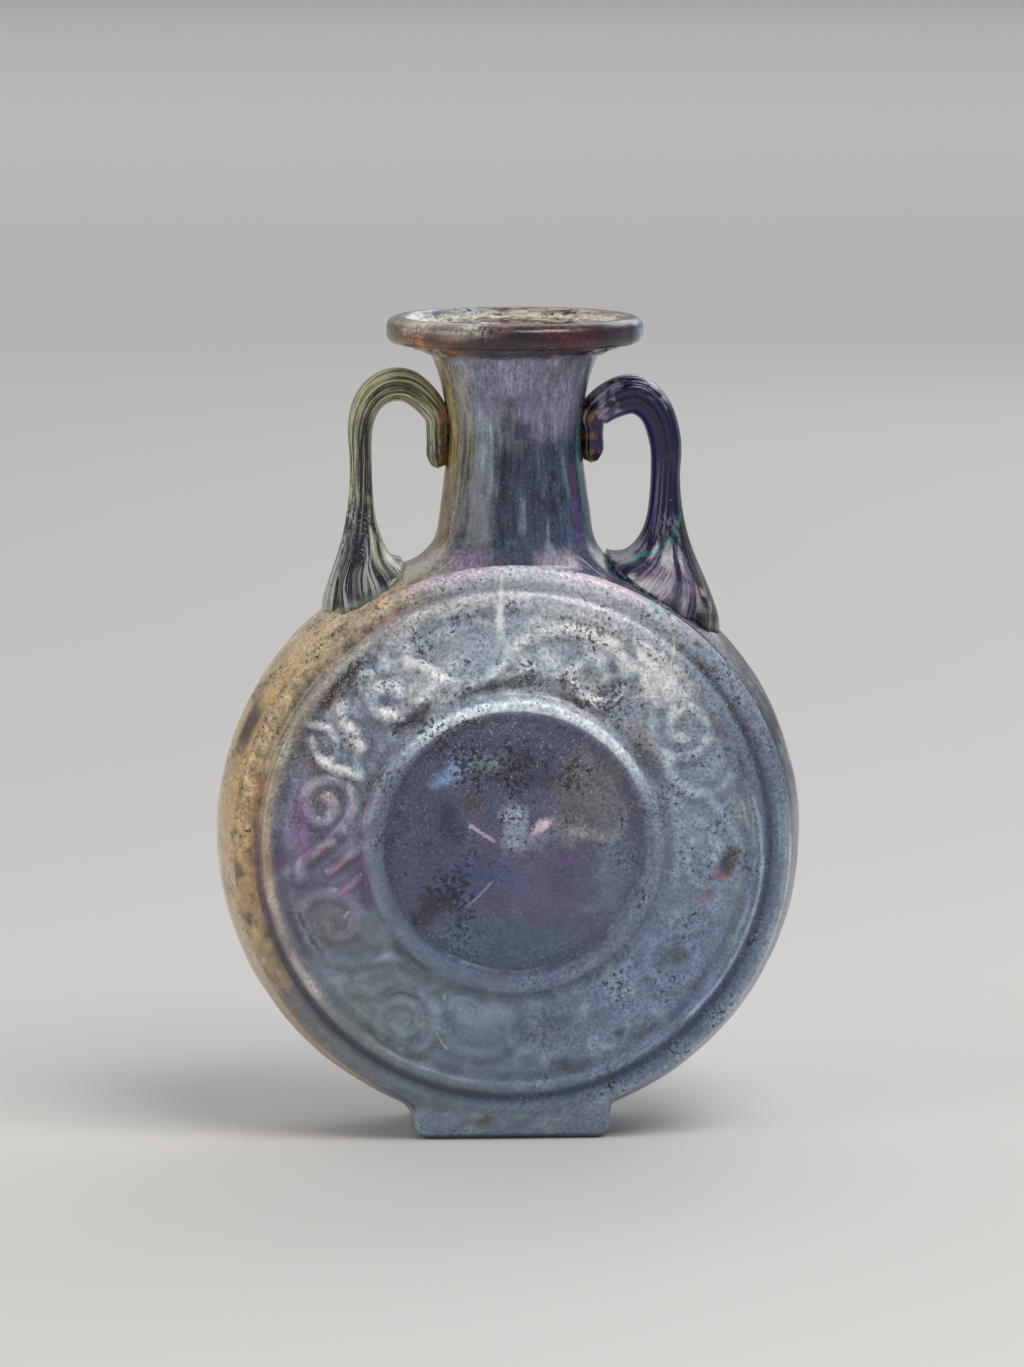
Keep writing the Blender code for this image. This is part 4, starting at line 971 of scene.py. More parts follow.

# Worn and stained places of the front, and painted highlights on the scroll's crests, in millimetres from
# the disc's centre
FRONT_PATCHES = (
    Patch(16.0, 50.0, 17.0, 5.0, -20, (196, 202, 214), 0.75),
    Patch(16.0, 44.0, 13.0, 3.2, -28, (214, 220, 230), 0.65),
    Patch(30.6, 37.0, 6.6, 10.0, 14, (238, 240, 242), 1.00),
    Patch(18.5, 42.5, 7.0, 4.0, -30, (226, 230, 236), 0.95),
    Patch(16.0, 34.5, 5.4, 4.0, -20, (176, 180, 188), 0.55),
    Patch(14.6, 30.6, 4.4, 1.5, -28, (222, 208, 218), 0.65),
    Patch(22.0, 33.0, 4.6, 6.0, 20, (84, 96, 124), 0.55),
    Patch(0.4, 39.8, 2.6, 5.0, 0, (222, 234, 244), 0.95),
    Patch(-6.0, 46.0, 8.0, 6.0, 20, (128, 134, 152), 0.50),
    Patch(-8.0, 41.5, 7.0, 1.6, 24, (176, 186, 200), 0.50),
    Patch(-14.0, 50.0, 9.0, 2.6, 24, (178, 190, 206), 0.55),
    Patch(-24.0, 45.0, 11.0, 2.0, 34, (190, 202, 212), 0.50),
    Patch(-15.5, 40.5, 5.0, 2.6, 20, (116, 128, 132), 0.60),
    Patch(-36.4, 33.4, 5.6, 2.8, 50, (36, 22, 18), 1.00),
    Patch(-38.0, 30.4, 2.0, 1.4, 50, (110, 70, 50), 0.60),
    Patch(-21.0, 27.4, 5.0, 2.2, 38, (30, 30, 38), 0.90),
    Patch(-1.0, 33.6, 8.0, 1.6, 8, (26, 32, 44), 0.85),
    Patch(10.0, 32.0, 5.0, 1.8, -20, (52, 60, 72), 0.65),
    Patch(26.0, 21.5, 5.0, 2.6, -46, (150, 126, 110), 0.35),
    Patch(27.5, 17.0, 5.0, 2.0, -50, (62, 62, 70), 0.55),
    Patch(36.0, 27.0, 8.0, 7.0, 0, (140, 150, 166), 0.45),
    Patch(47.8, 16.0, 1.6, 4.4, 16, (58, 46, 40), 0.85),
    Patch(45.2, 7.0, 2.2, 4.0, 8, (128, 148, 144), 0.35),
    Patch(44.4, -4.2, 1.7, 3.8, -22, (62, 54, 46), 0.85),
    Patch(42.2, -6.8, 1.6, 1.2, 0, (150, 110, 130), 0.60),
    Patch(39.4, -11.0, 2.4, 1.5, 30, (134, 96, 118), 0.55),
    Patch(32.6, -23.6, 3.6, 2.4, 12, (72, 84, 82), 0.75),
    Patch(36.0, -28.0, 6.0, 3.0, 40, (116, 132, 158), 0.50),
    Patch(26.0, -33.0, 10.0, 5.0, 38, (112, 130, 158), 0.50),
    Patch(6.0, -38.0, 9.0, 4.0, 0, (70, 82, 100), 0.50),
    Patch(10.4, -46.0, 3.0, 2.0, 0, (60, 58, 56), 0.65),
    Patch(21.8, -39.6, 1.2, 1.0, 0, (40, 48, 62), 0.70),
    Patch(26.0, -39.4, 4.0, 1.6, 30, (62, 64, 62), 0.55),
    Patch(-30.0, -36.0, 10.0, 9.0, 0, (122, 136, 140), 0.60),
    Patch(-38.0, -15.0, 6.0, 6.0, 0, (120, 120, 124), 0.55),
    Patch(-43.0, 20.0, 4.0, 12.0, 22, (112, 106, 100), 0.55),
    Patch(-38.2, 9.6, 2.6, 2.6, 0, (150, 132, 136), 0.60),
    Patch(-44.0, 3.0, 2.6, 7.0, 4, (118, 96, 134), 0.60),
    Patch(-43.6, 8.0, 1.2, 9.0, 6, (152, 120, 170), 0.40),
    Patch(-34.0, -8.0, 5.0, 7.0, 0, (112, 88, 126), 0.45),
    # Painted highlights on the crests of the scroll at the upper left
    Patch(-33.0, 22.6, 1.7, 4.2, 28, (226, 222, 226), 0.85),
    Patch(-41.0, 25.1, 2.6, 0.9, -6, (226, 208, 226), 0.90),
    Patch(-38.4, 17.4, 2.4, 1.2, -20, (206, 200, 212), 0.60),
    Patch(-34.6, 15.4, 3.4, 1.2, -20, (196, 206, 208), 0.60),
    Patch(-21.0, 31.0, 2.0, 3.4, 0, (200, 208, 212), 0.70),
    Patch(-26.4, 27.2, 3.0, 1.2, -10, (206, 204, 206), 0.70),
)
MEDALLION_PATCHES = (
    Patch(-18.0, 3.0, 9.0, 17.0, 0, (72, 76, 104), 0.70),
    Patch(-3.0, -8.0, 14.0, 9.0, 0, (94, 88, 116), 0.70),
    Patch(7.0, -11.0, 11.0, 8.0, 0, (90, 88, 116), 0.70),
    Patch(15.0, 10.0, 9.0, 11.0, -15, (112, 108, 108), 0.60),
    Patch(21.0, -9.0, 7.0, 12.0, 10, (98, 112, 134), 0.70),
    Patch(-3.0, -21.0, 18.0, 6.5, 0, (74, 96, 124), 0.75),
    Patch(-10.0, -6.5, 9.0, 7.5, 15, (68, 82, 122), 0.65),
    Patch(-17.5, -13.0, 5.4, 3.6, 30, (30, 32, 44), 0.70),
    Patch(-4.0, 20.0, 16.0, 4.0, 8, (64, 68, 90), 0.60),
    Patch(2.0, 15.0, 9.0, 6.0, 0, (52, 54, 72), 0.65),
    # Painted highlight: a pale blue streak on the upper left of the medallion
    Patch(-14.6, 14.0, 5.6, 1.8, 36, (132, 160, 200), 0.75),
    Patch(-4.6, 17.4, 3.4, 2.0, 20, (122, 140, 150), 0.55),
    Patch(-13.4, 6.0, 3.0, 6.0, 12, (44, 48, 66), 0.70),
    Patch(-8.0, 9.0, 2.6, 2.0, 0, (82, 68, 66), 0.60),
    # Painted highlight on the swelling above the centre
    Patch(0.2, 5.0, 2.6, 5.0, 10, (168, 178, 202), 0.75),
    Patch(3.2, 1.4, 6.0, 2.4, 16, (132, 142, 168), 0.60),
    # Painted highlights: a pale streak and a pink-white spot on the swellings right of the centre
    Patch(15.4, 2.4, 7.0, 1.5, 0, (146, 148, 154), 0.60),
    Patch(5.4, 4.5, 2.3, 1.3, 36, (240, 212, 232), 0.90),
    Patch(11.0, -2.6, 4.4, 1.6, 0, (108, 76, 130), 0.65),
)
# Places of the front with more pits, and a smoother one
PITTED_PATCHES = (
    Patch(-12.0, -8.0, 9.0, 7.0, 20, None, 0.75),
    Patch(0.0, 14.0, 16.0, 8.0, 0, None, 0.45),
    Patch(18.0, 34.0, 7.0, 5.0, 0, None, 0.50),
)
CALM_PATCH = Patch(8.0, -12.0, 13.0, 9.0, 0, None, 1.0)

# Thin lines of the front: cracks, creases and stains that follow the relief, and painted highlights along
# the edges, the border's crest and the medallion's swellings
FRONT_LINES = (
    Line(((-2.5, 56.4), (-2.6, 51.0), (-2.8, 47.0)), 0.42, (244, 250, 255), 1.00),
    Line(((-2.7, 50.4), (-2.9, 46.4), (-2.7, 42.2)), 0.75, (244, 250, 255), 1.00),
    Line(((-2.8, 44.0), (-3.8, 39.6), (-5.6, 35.6), (-7.0, 33.0)), 0.7, (186, 206, 222), 0.75),
    Line(((-2.7, 43.4), (-1.0, 41.2), (1.6, 39.0)), 0.5, (220, 230, 240), 0.70),
    Line(((32.6, 43.8), (33.0, 41.0), (32.2, 37.0), (30.0, 33.6), (27.0, 31.2), (23.2, 30.2)), 0.30,
         (226, 222, 204), 0.95),
    Line(((29.4, 49.6), (31.0, 47.0), (32.6, 43.8)), 0.35, (206, 208, 200), 0.60),
    Line(((-41.9, 24.2), (-42.6, 18.0), (-43.6, 11.6), (-45.0, 5.0), (-46.0, -1.0)), 0.40, (166, 112, 180),
         0.40),
    Line(((-42.9, 15.0), (-42.4, 8.0), (-43.2, 1.6), (-44.6, -4.0)), 0.40, (176, 112, 178), 0.40),
    Line(((-47.6, 9.0), (-47.9, 2.0), (-48.0, -5.0)), 0.35, (140, 96, 150), 0.35),
    Line(((-30.6, 8.4), (-30.9, 2.0), (-30.8, -4.0), (-30.4, -9.4)), 0.22, (182, 118, 176), 0.55),
    Line(((-33.5, -1.7), (-35.6, -3.6), (-38.0, -5.4)), 0.34, (208, 132, 146), 0.70),
    Line(((-32.4, -6.6), (-34.6, -8.6), (-37.2, -10.6)), 0.34, (194, 110, 156), 0.70),
    Line(((-37.6, 1.6), (-40.4, -0.8), (-43.4, -3.4)), 0.36, (202, 128, 140), 0.55),
    Line(((-34.4, 12.4), (-33.0, 8.8), (-33.6, 5.4)), 0.35, (216, 160, 150), 0.60),
    Line(((-36.4, 24.0), (-37.0, 28.0), (-36.2, 31.6)), 0.30, (190, 140, 130), 0.55),
    Line(((-31.4, 26.2), (-30.6, 30.0), (-28.0, 32.6)), 0.30, (180, 120, 196), 0.60),
    Line(((-25.8, 33.8), (-24.3, 31.4), (-25.2, 28.2)), 0.30, (184, 132, 200), 0.55),
    Line(((-29.2, 37.8), (-25.0, 38.2), (-20.6, 38.4)), 0.30, (196, 150, 196), 0.50),
    # Painted highlights on the medallion's worn swellings
    Line(((-9.3, 4.7), (-6.6, 2.8), (-4.0, 1.2)), 0.40, (226, 206, 222), 0.85),
    Line(((-10.8, -12.9), (-8.0, -10.8), (-5.6, -8.2), (-4.3, -6.9)), 0.24, (190, 192, 196), 0.60),
    Line(((-34.0, -13.6), (-34.6, -14.2), (-35.2, -15.0)), 0.30, (220, 214, 220), 0.50),
    Line(((-16.0, -38.8), (-15.0, -40.8), (-13.8, -42.6)), 0.28, (224, 206, 176), 0.85),
    Line(((-14.2, -30.8), (-14.6, -32.0)), 0.30, (224, 220, 216), 0.80),
    # Painted highlight along the upper right edge, tinted pink and then green
    Line(((14.6, 56.2), (19.0, 54.6), (24.0, 52.0), (28.4, 49.0)), 0.75, (240, 208, 226), 0.90),
    Line(((25.4, 51.6), (28.4, 49.4), (31.4, 47.2)), 0.50, (132, 210, 190), 0.85),
    Line(((40.6, 27.0), (42.6, 23.8), (44.8, 19.6)), 0.40, (196, 140, 160), 0.30),
    Line(((-20.6, 49.6), (-26.0, 46.4), (-30.6, 43.0)), 0.45, (216, 156, 186), 0.60),
    Line(((-38.6, 36.6), (-44.0, 30.0), (-49.6, 20.0), (-51.2, 14.6)), 0.30, (216, 204, 204), 0.70),
    Line(((-51.3, 14.4), (-52.0, 11.0)), 0.50, (186, 100, 116), 0.45),
    Line(((-52.4, 8.0), (-53.4, 0.0), (-53.2, -8.0)), 0.50, (190, 132, 128), 0.35),
    Line(((-51.4, -14.2), (-50.8, -16.0)), 0.60, (168, 112, 196), 0.60),
    # Painted highlight along the border's crest at the left, gold like the amber glass there
    Line(((-48.4, 20.6), (-51.2, 8.0), (-51.6, -2.0), (-50.6, -10.6)), 0.35, (206, 166, 108), 0.50),
    Line(((-44.6, -13.0), (-42.4, -18.0), (-39.4, -22.4)), 0.55, (56, 62, 100), 0.80),
    Line(((-26.6, -31.4), (-23.2, -30.6), (-19.8, -32.0)), 0.35, (66, 56, 76), 0.70),
    # Painted highlights along the border's crest at the right and the bottom
    Line(((48.9, 12.0), (51.0, 2.0), (51.0, -8.0), (48.2, -18.0), (42.4, -29.0), (33.6, -38.6)), 0.40,
         (186, 204, 226), 0.75),
    Line(((33.6, -38.6), (22.0, -46.2), (12.0, -49.8)), 0.35, (150, 172, 196), 0.50),
    Line(((54.2, 11.0), (55.0, 4.0), (55.2, -3.0)), 0.30, (110, 190, 184), 0.60),
    # Painted highlight: a bright line along the edge at the right and the lower right
    Line(((57.2, 4.0), (57.0, -8.0), (54.4, -18.6), (49.0, -30.0), (41.6, -39.6), (33.0, -47.0)), 0.40,
         (222, 230, 242), 0.90),
    Line(((46.8, 9.4), (48.2, 4.6), (48.6, 2.0)), 0.40, (190, 212, 192), 0.45),
)


def tone(screen):
    """Linear colour of a screen colour from 0 to 255."""
    return (np.array(screen) / 255.0) ** 2.2


def window(value, low, high, soft):
    """1 between low and high, fading to 0 over a soft distance outside."""
    return ease((value - low + soft) / soft) * ease((high + soft - value) / soft)


def turn_window(angle, middle, half, soft):
    """1 within half degrees of a middle angle, fading to 0 over soft degrees."""
    off = np.abs((angle - middle + 180.0) % 360.0 - 180.0)
    return ease((half + soft - off) / soft)


def tones_at(angle, tones):
    """Colour at each angle between a ring of named tones."""
    colours = np.array([tone(screen) for screen in tones.values()])
    return np.column_stack([np.interp(angle, list(tones), colours[:, c], period=360.0) for c in range(3)])


def patch_mask(x, z, patch, noise_value):
    """Share of a worn place at each point, with a ragged edge."""
    turn = math.radians(patch.turn)
    along = ((x - patch.x) * math.cos(turn) + (z - patch.z) * math.sin(turn)) / patch.wide
    across = ((z - patch.z) * math.cos(turn) - (x - patch.x) * math.sin(turn)) / patch.tall
    return patch.strength * ease((1.25 - np.hypot(along, across) + 0.55 * noise_value) / 0.75)


def thin_lines(ground, lines):
    """Place across the nearest line, from -1 to 1 over its width, with its strength and its colour.

    A place across that changes sign on the line stays sharp between the points of the mesh.
    """
    count = len(ground.points)
    across = np.full(count, 9.0)
    strength = np.zeros(count)
    ink = np.zeros((count, 3))
    chosen = np.flatnonzero(ground.zones == "front")
    x, z = ground.x[chosen], ground.disc_z[chosen]
    for line in lines:
        points = curve_through(line.places, CURVE_STEPS)
        near = np.full(len(chosen), 1e9)
        sign = np.ones(len(chosen))
        share = np.zeros(len(chosen))
        for k, ((ax, az), (bx, bz)) in enumerate(zip(points, points[1:])):
            length = (bx - ax) ** 2 + (bz - az) ** 2
            part = np.clip(((x - ax) * (bx - ax) + (z - az) * (bz - az)) / length, 0.0, 1.0)
            distance = np.hypot(x - ax - part * (bx - ax), z - az - part * (bz - az))
            closer = distance < near
            near = np.where(closer, distance, near)
            sign = np.where(closer, np.sign((bx - ax) * (z - az) - (bz - az) * (x - ax)), sign)
            share = np.where(closer, (k + part) / (len(points) - 1), share)
        ends = ease(share / 0.08) * ease((1.0 - share) / 0.08)
        better = near / line.width < np.abs(across[chosen])
        places = chosen[better]
        across[places] = (near * sign / line.width)[better]
        strength[places] = (line.strength * ends * ease((line.width + 1.3 - near) / 0.4))[better]
        ink[places] = tone(line.tone)
    return across, strength, ink


class Paint:
    """Colour of each point, laid on in layers."""

    def __init__(self, count):
        self.colour = np.zeros((count, 3))
        self.count = count

    def lay(self, colour, mask):
        """Cover with a screen colour, or with an array of linear colours, by a mask from 0 to 1."""
        under = np.clip(mask, 0.0, 1.0)[:, None]
        top = tone(colour) if isinstance(colour, tuple) else colour
        self.colour = self.colour * (1.0 - under) + top * under

    def shade(self, factor):
        self.colour = self.colour * factor[:, None]


class Ground:
    """Places, zones and noise of a skin's points, which its painting reads."""

    def __init__(self, skin, seed):
        self.points = np.array(skin.points)
        self.zones = np.array(skin.zones)
        self.marks = np.array(skin.marks)
        self.x, self.y, self.z = 1000.0 * self.points.T
        self.disc_z = self.z - 1000.0 * DISC_CENTRE_Z
        self.radius = np.hypot(self.x, self.disc_z)
        self.angle = np.degrees(np.arctan2(self.x, self.disc_z)) % 360.0
        self.turn = np.degrees(np.arctan2(self.x - 1000.0 * NECK_SHIFT, -self.y)) % 360.0
        self.big = cloud(self.points, 0.024, seed)
        self.mid = cloud(self.points, 0.008, seed + 1)
        self.small = cloud(self.points, 0.0026, seed + 2)
        bent = self.points + 0.004 * np.column_stack((self.mid, self.big, -self.mid))
        self.wisps = 1.0 - 2.2 * np.abs(cloud(bent, 0.011, seed + 3))
        self.streaks = cloud(self.points * (1.0, 1.0, 0.10), 0.0024, 41)

    def zone(self, *names):
        return np.isin(self.zones, names).astype(float)


def lay_marks(paint, ground, angle, level, marks):
    """Lay a row of marks, which are bounded by the given angle and level."""
    g = ground
    for mark in marks:
        cover = g.zone(*mark.zones.split()) * (mark.strength + mark.sway * g.mid)
        if mark.turn:
            cover = cover * turn_window(angle, *mark.turn)
        if mark.level:
            cover = cover * window(level, *mark.level)
        if mark.rough:
            base, mid, small, drawn = (mark.rough + (0.0, 0.0, 0.0))[:4]
            cover = cover * ease(base + mid * g.mid + small * g.small + drawn * g.streaks)
        paint.lay(mark.tone, cover)


def paint_faces(paint, ground):
    """The two broad faces: frieze, medallion, ring, border and edge, with painted shade and painted
    highlights on their relief.
    """
    g = ground
    faces = g.zone("front", "back")
    front = g.zone("front")
    paint.lay(tones_at(g.angle, FRIEZE_TONES), faces)
    paint.lay((150, 166, 182), faces * 0.50 * ease(g.wisps * 1.2 + 0.1 * g.disc_z / 30.0 - 0.15))
    paint.lay((58, 68, 86), faces * 0.55 * ease(-0.9 * g.mid - 0.3 + 0.35 * g.big))
    cloudy = faces * ease((g.disc_z - 18.0) / 16.0)
    paint.lay((218, 225, 234), cloudy * ease(1.5 * g.wisps + 0.7 * g.small - 0.25) * 0.80)
    medal = faces * ease((30.2 - g.radius) / 2.4)
    paint.lay((84, 88, 112), medal * 0.95)
    ragged = g.mid + 0.7 * g.small
    for patch in MEDALLION_PATCHES:
        paint.lay(patch.tone, front * medal * patch_mask(g.x, g.disc_z, patch, ragged))
    paint.lay((76, 86, 108), g.zone("back") * medal * ease(0.5 + g.mid))
    for patch in FRONT_PATCHES:
        paint.lay(patch.tone, front * (1.0 - medal) * patch_mask(g.x, g.disc_z, patch, ragged))
    field = faces * ease((g.radius - 30.5) / 1.0)
    rise = field * np.clip(g.marks[:, 0] / 0.0012, 0.0, 1.0)
    side = field * np.clip(g.marks[:, 1] - 1.1 * rise, 0.0, 1.0)
    # Painted shade on the ground beside the ridges of the relief
    paint.shade(1.0 - 0.70 * side * ease(0.75 + 0.6 * g.mid))
    # Painted highlight: the ridge crests made lighter, more toward the top where the light falls
    lit = ease((g.disc_z + 22.0) / 45.0)
    paint.lay(np.minimum(paint.colour * 1.9 + 0.03 + 0.08 * lit[:, None], 0.8), rise * (0.25 + 0.60 * lit)
              * ease(0.8 + 0.9 * g.small))
    ring = faces * window(g.radius, 27.6, 30.4, 1.0)
    paint.lay((118, 132, 158), 0.45 * ring)
    # Painted highlight: a bright arc along the top of the ring round the medallion
    paint.lay((228, 238, 248), ring * window(g.radius, 28.4, 29.8, 0.7)
              * turn_window(g.angle, 8.0, 34.0, 36.0))
    # Painted shade at the feet of the ring, outside and inside it
    paint.shade(1.0 - 0.50 * faces * window(g.radius, 31.2, 32.6, 1.0) * (0.6 + 0.5 * g.mid))
    paint.shade(1.0 - 0.45 * faces * window(g.radius, 25.0, 26.6, 1.0) * (0.5 + 0.6 * g.mid))
    border = faces * ease((g.radius - 49.2) / 1.2)
    grains = tones_at(g.angle + 4.0 * g.mid, BORDER_TONES)
    paint.lay(grains, border * 0.92)
    lay_marks(paint, g, g.angle, g.radius, PLATE_MARKS)
    # Painted shade in the hollow at the border's inner foot and in the channel beyond the border
    paint.shade(1.0 - 0.35 * faces * window(g.radius, 47.9, 49.0, 1.0))
    paint.shade(1.0 - 0.30 * faces * window(g.radius, 53.0, 54.2, 0.9) * (0.7 + 0.5 * g.small))
    lay_marks(paint, g, g.angle, g.radius, BORDER_MARKS)


def paint_sides(paint, ground):
    """The groove, the side band and the foot, with painted shade in the groove and along the foot's bottom,
    and painted light on the band's left side.
    """
    g = ground
    band = g.zone("band", "groove")
    groove = g.zone("groove")
    paint.lay(tones_at(g.angle + 3.0 * g.big, BAND_TONES), band)
    left = band * turn_window(g.angle, 285.0, 45.0, 20.0)
    # Paler toward the mould seam at the left, where the band faces the left light: the amber glass's cream
    # weathering with painted light
    paint.lay((218, 206, 178), left * ease((1.0 - np.abs(g.y) / 6.0) * 1.4 + 0.8 * g.mid) * 0.75)
    lay_marks(paint, g, g.angle, np.abs(g.y), BAND_MARKS)
    # Painted shade in the groove, darkest at its deepest
    paint.lay(tones_at(g.angle, GROOVE_TONES_AND_SHADE), groove * ease(1.7 * g.marks[:, 0] - 0.2))
    bead = groove * turn_window(g.angle, 300.0, 36.0, 14.0)
    paint.lay((206, 190, 150), bead * ease(2.4 * g.small + 0.2) * 0.5)
    low_faces = g.zone("front", "back") * ease((g.radius - 56.0) / 1.0)
    foot = (band + low_faces) * ease((7.4 - g.z) / 1.8)
    foot *= turn_window(g.angle, 180.0, 30.0, 4.0)
    paint.lay((120, 138, 158), foot)
    paint.lay((150, 160, 162), foot * ease(1.8 * g.small + 0.3 * g.mid) * 0.6)
    paint.lay((74, 58, 42), foot * ease(2.0 * g.mid - 0.35) * 0.7)
    # Painted shade along the bottom, where the foot meets the floor
    paint.lay((26, 38, 52), foot * ease((1.5 - g.z) / 0.9) * 0.8)


def paint_neck(paint, ground):
    """The neck with its drawn streaks, and the shoulder where it meets the disc, with a painted highlight at
    its right.
    """
    g = ground
    neck = g.zone("neck")
    broad = cloud(g.points * np.array((1.0, 1.0, 0.18)), 0.0060, 42)
    front = neck * turn_window(g.turn, *NECK_FRONT)
    paint.lay(tones_at(g.turn + 9.0 * broad, NECK_TONES), neck)
    lilac = neck * ease((g.z - 143.0) / 8.0) * (0.70 + 0.3 * g.mid)
    paint.lay((146, 146, 170), lilac * (0.35 + 0.65 * front))
    lay_marks(paint, g, g.turn, g.z, NECK_MARKS)
    paint.shade(1.0 + 0.30 * neck * g.streaks)
    lay_marks(paint, g, g.turn, g.z, CRUST_MARKS)
    foot = neck * ease((SHOULDER_Z * 1000.0 + 5.5 - g.z + 1.2 * g.mid) / 4.0)
    paint.lay(tones_at(g.angle, SHOULDER_TONES), foot * 0.85)
    paint.lay((160, 116, 168), 0.35 * foot * turn_window(g.angle, 351.0, 2.0, 3.0)
              * window(g.y, -30.0, -13.0, 2.0))
    # Painted highlight, tinted pink, on the shoulder right of the neck
    paint.lay((206, 184, 204), 0.40 * foot * turn_window(g.angle, 9.0, 3.0, 3.0)
              * window(g.y, -30.0, -14.0, 1.5))


def paint_rim(paint, ground):
    """The dark rolled rim, with crust inside its lip, and the mouth."""
    g = ground
    rim = g.zone("rim")
    reach = np.hypot(g.x - 1000.0 * NECK_SHIFT, g.y)
    paint.lay(tones_at(g.turn + 10.0 * g.mid, RIM_TONES), rim)
    lay_marks(paint, g, g.turn, g.z, RIM_MARKS)
    inner = rim * ease((24.0 - reach + 0.9 * g.mid) / 1.0) * ease((g.z - 165.5) / 0.6)
    paint.lay((124, 140, 158), inner * 0.9)
    paint.lay((102, 50, 48), inner * turn_window(g.turn, 130.0, 45.0, 20.0) * 0.9)
    paint.lay((216, 210, 188), inner * window(reach + 0.5 * g.mid, 20.4, 21.8, 0.5) * 0.9)
    paint.lay((142, 124, 66), inner * ease((20.6 - reach + 0.5 * g.mid) / 0.6) * 0.85)
    paint.lay((46, 34, 24), inner * ease((21.0 - reach) / 0.6) * ease(-2.2 * g.small - 0.35) * 0.8)
    mouth = (rim + g.zone("inner")) * ease((20.0 - reach) / 1.5) * ease((g.z - 140.0) / 6.0)
    paint.lay((126, 140, 162), mouth * 0.8)
    paint.lay((96, 46, 42), mouth * turn_window(g.turn, 150.0, 40.0, 30.0) * 0.75)


def paint_body(skin):
    """Colour and surface marks of the body's points."""
    ground = Ground(skin, 3)
    paint = Paint(len(skin.points))
    paint.lay((70, 86, 104), ground.zone("inner"))
    paint_faces(paint, ground)
    paint_sides(paint, ground)
    paint_neck(paint, ground)
    paint_rim(paint, ground)
    paint.shade(1.10 + 0.18 * ground.mid + 0.18 * ground.small)
    g = ground
    upper = ease((g.disc_z + 10.0) / 50.0)
    smooth = g.zone("front") * turn_window(g.angle, 222.0, 34.0, 24.0) * ease((g.radius - 24.0) / 6.0)
    frost = np.clip(0.15 + 0.50 * upper + 0.30 * g.mid - 0.3 * smooth, 0.0, 1.0)
    frost = np.where(g.zones == "rim", 0.08, np.where(g.zones == "neck", 0.30 * frost, frost))
    frost = np.where(g.zones == "inner", 0.3, frost)
    grain = np.clip(0.70 + 0.25 * upper - 0.40 * smooth + 0.3 * g.mid, 0.1, 1.0)
    grain = np.where(g.zones == "neck", 0.6 * grain, grain)
    pits = np.clip(0.32 + 0.7 * g.mid + 0.15 * upper - 0.5 * smooth, 0.0, 0.9)
    pits = np.where(g.zones == "neck", 0.35 * pits, pits)
    pitted = g.zone("front") * sum(patch_mask(g.x, g.disc_z, patch, g.mid) for patch in PITTED_PATCHES)
    pits = np.clip(pits + pitted, 0.0, 1.0)
    calm = g.zone("front") * patch_mask(g.x, g.disc_z, CALM_PATCH, g.mid)
    pits *= 1.0 - 0.8 * calm
    grain *= 1.0 - 0.6 * calm
    frost *= 1.0 - 0.6 * calm
    drawn = np.where(g.zones == "neck", 1.0, np.where(g.zones == "rim", 0.7, 0.0))
    across, strength, ink = thin_lines(g, FRONT_LINES)
    reach = np.hypot(g.x - 1000.0 * NECK_SHIFT, g.y)
    lip = g.zone("rim") * window(reach, 18.0, 23.2, 0.8) * ease((g.z - 165.5) / 0.6)
    gilt = g.zone("neck") * turn_window(g.turn, 290.0, 24.0, 10.0) * ease((g.z - 130.0) / 10.0)
    ink = np.where((lip > 0.0)[:, None], tone((214, 208, 186)),
                   np.where((gilt > 0.0)[:, None], tone((196, 178, 122)), ink))
    flow = np.where((g.zones == "rim")[:, None], along_rim(g), g.points * (1.0, 1.0, 0.05))
    values = {"frost": frost, "grain": grain, "pits": pits, "drawn": drawn, "across": across,
              "line": strength * (0.75 + 0.5 * g.small), "pale": 0.6 * lip + 0.5 * gilt,
              "dark": 0.5 * lip + 0.2 * gilt, "flow": flow}
    return {"tint": paint.colour, "ink": ink}, values


def along_rim(ground):
    """Places whose noise is drawn out round the rim."""
    turn = np.radians((ground.turn + 180.0) % 360.0 - 180.0)
    reach = np.hypot(ground.points[:, 0] - NECK_SHIFT, ground.points[:, 1])
    return np.column_stack((0.0025 * turn, reach, ground.points[:, 2]))


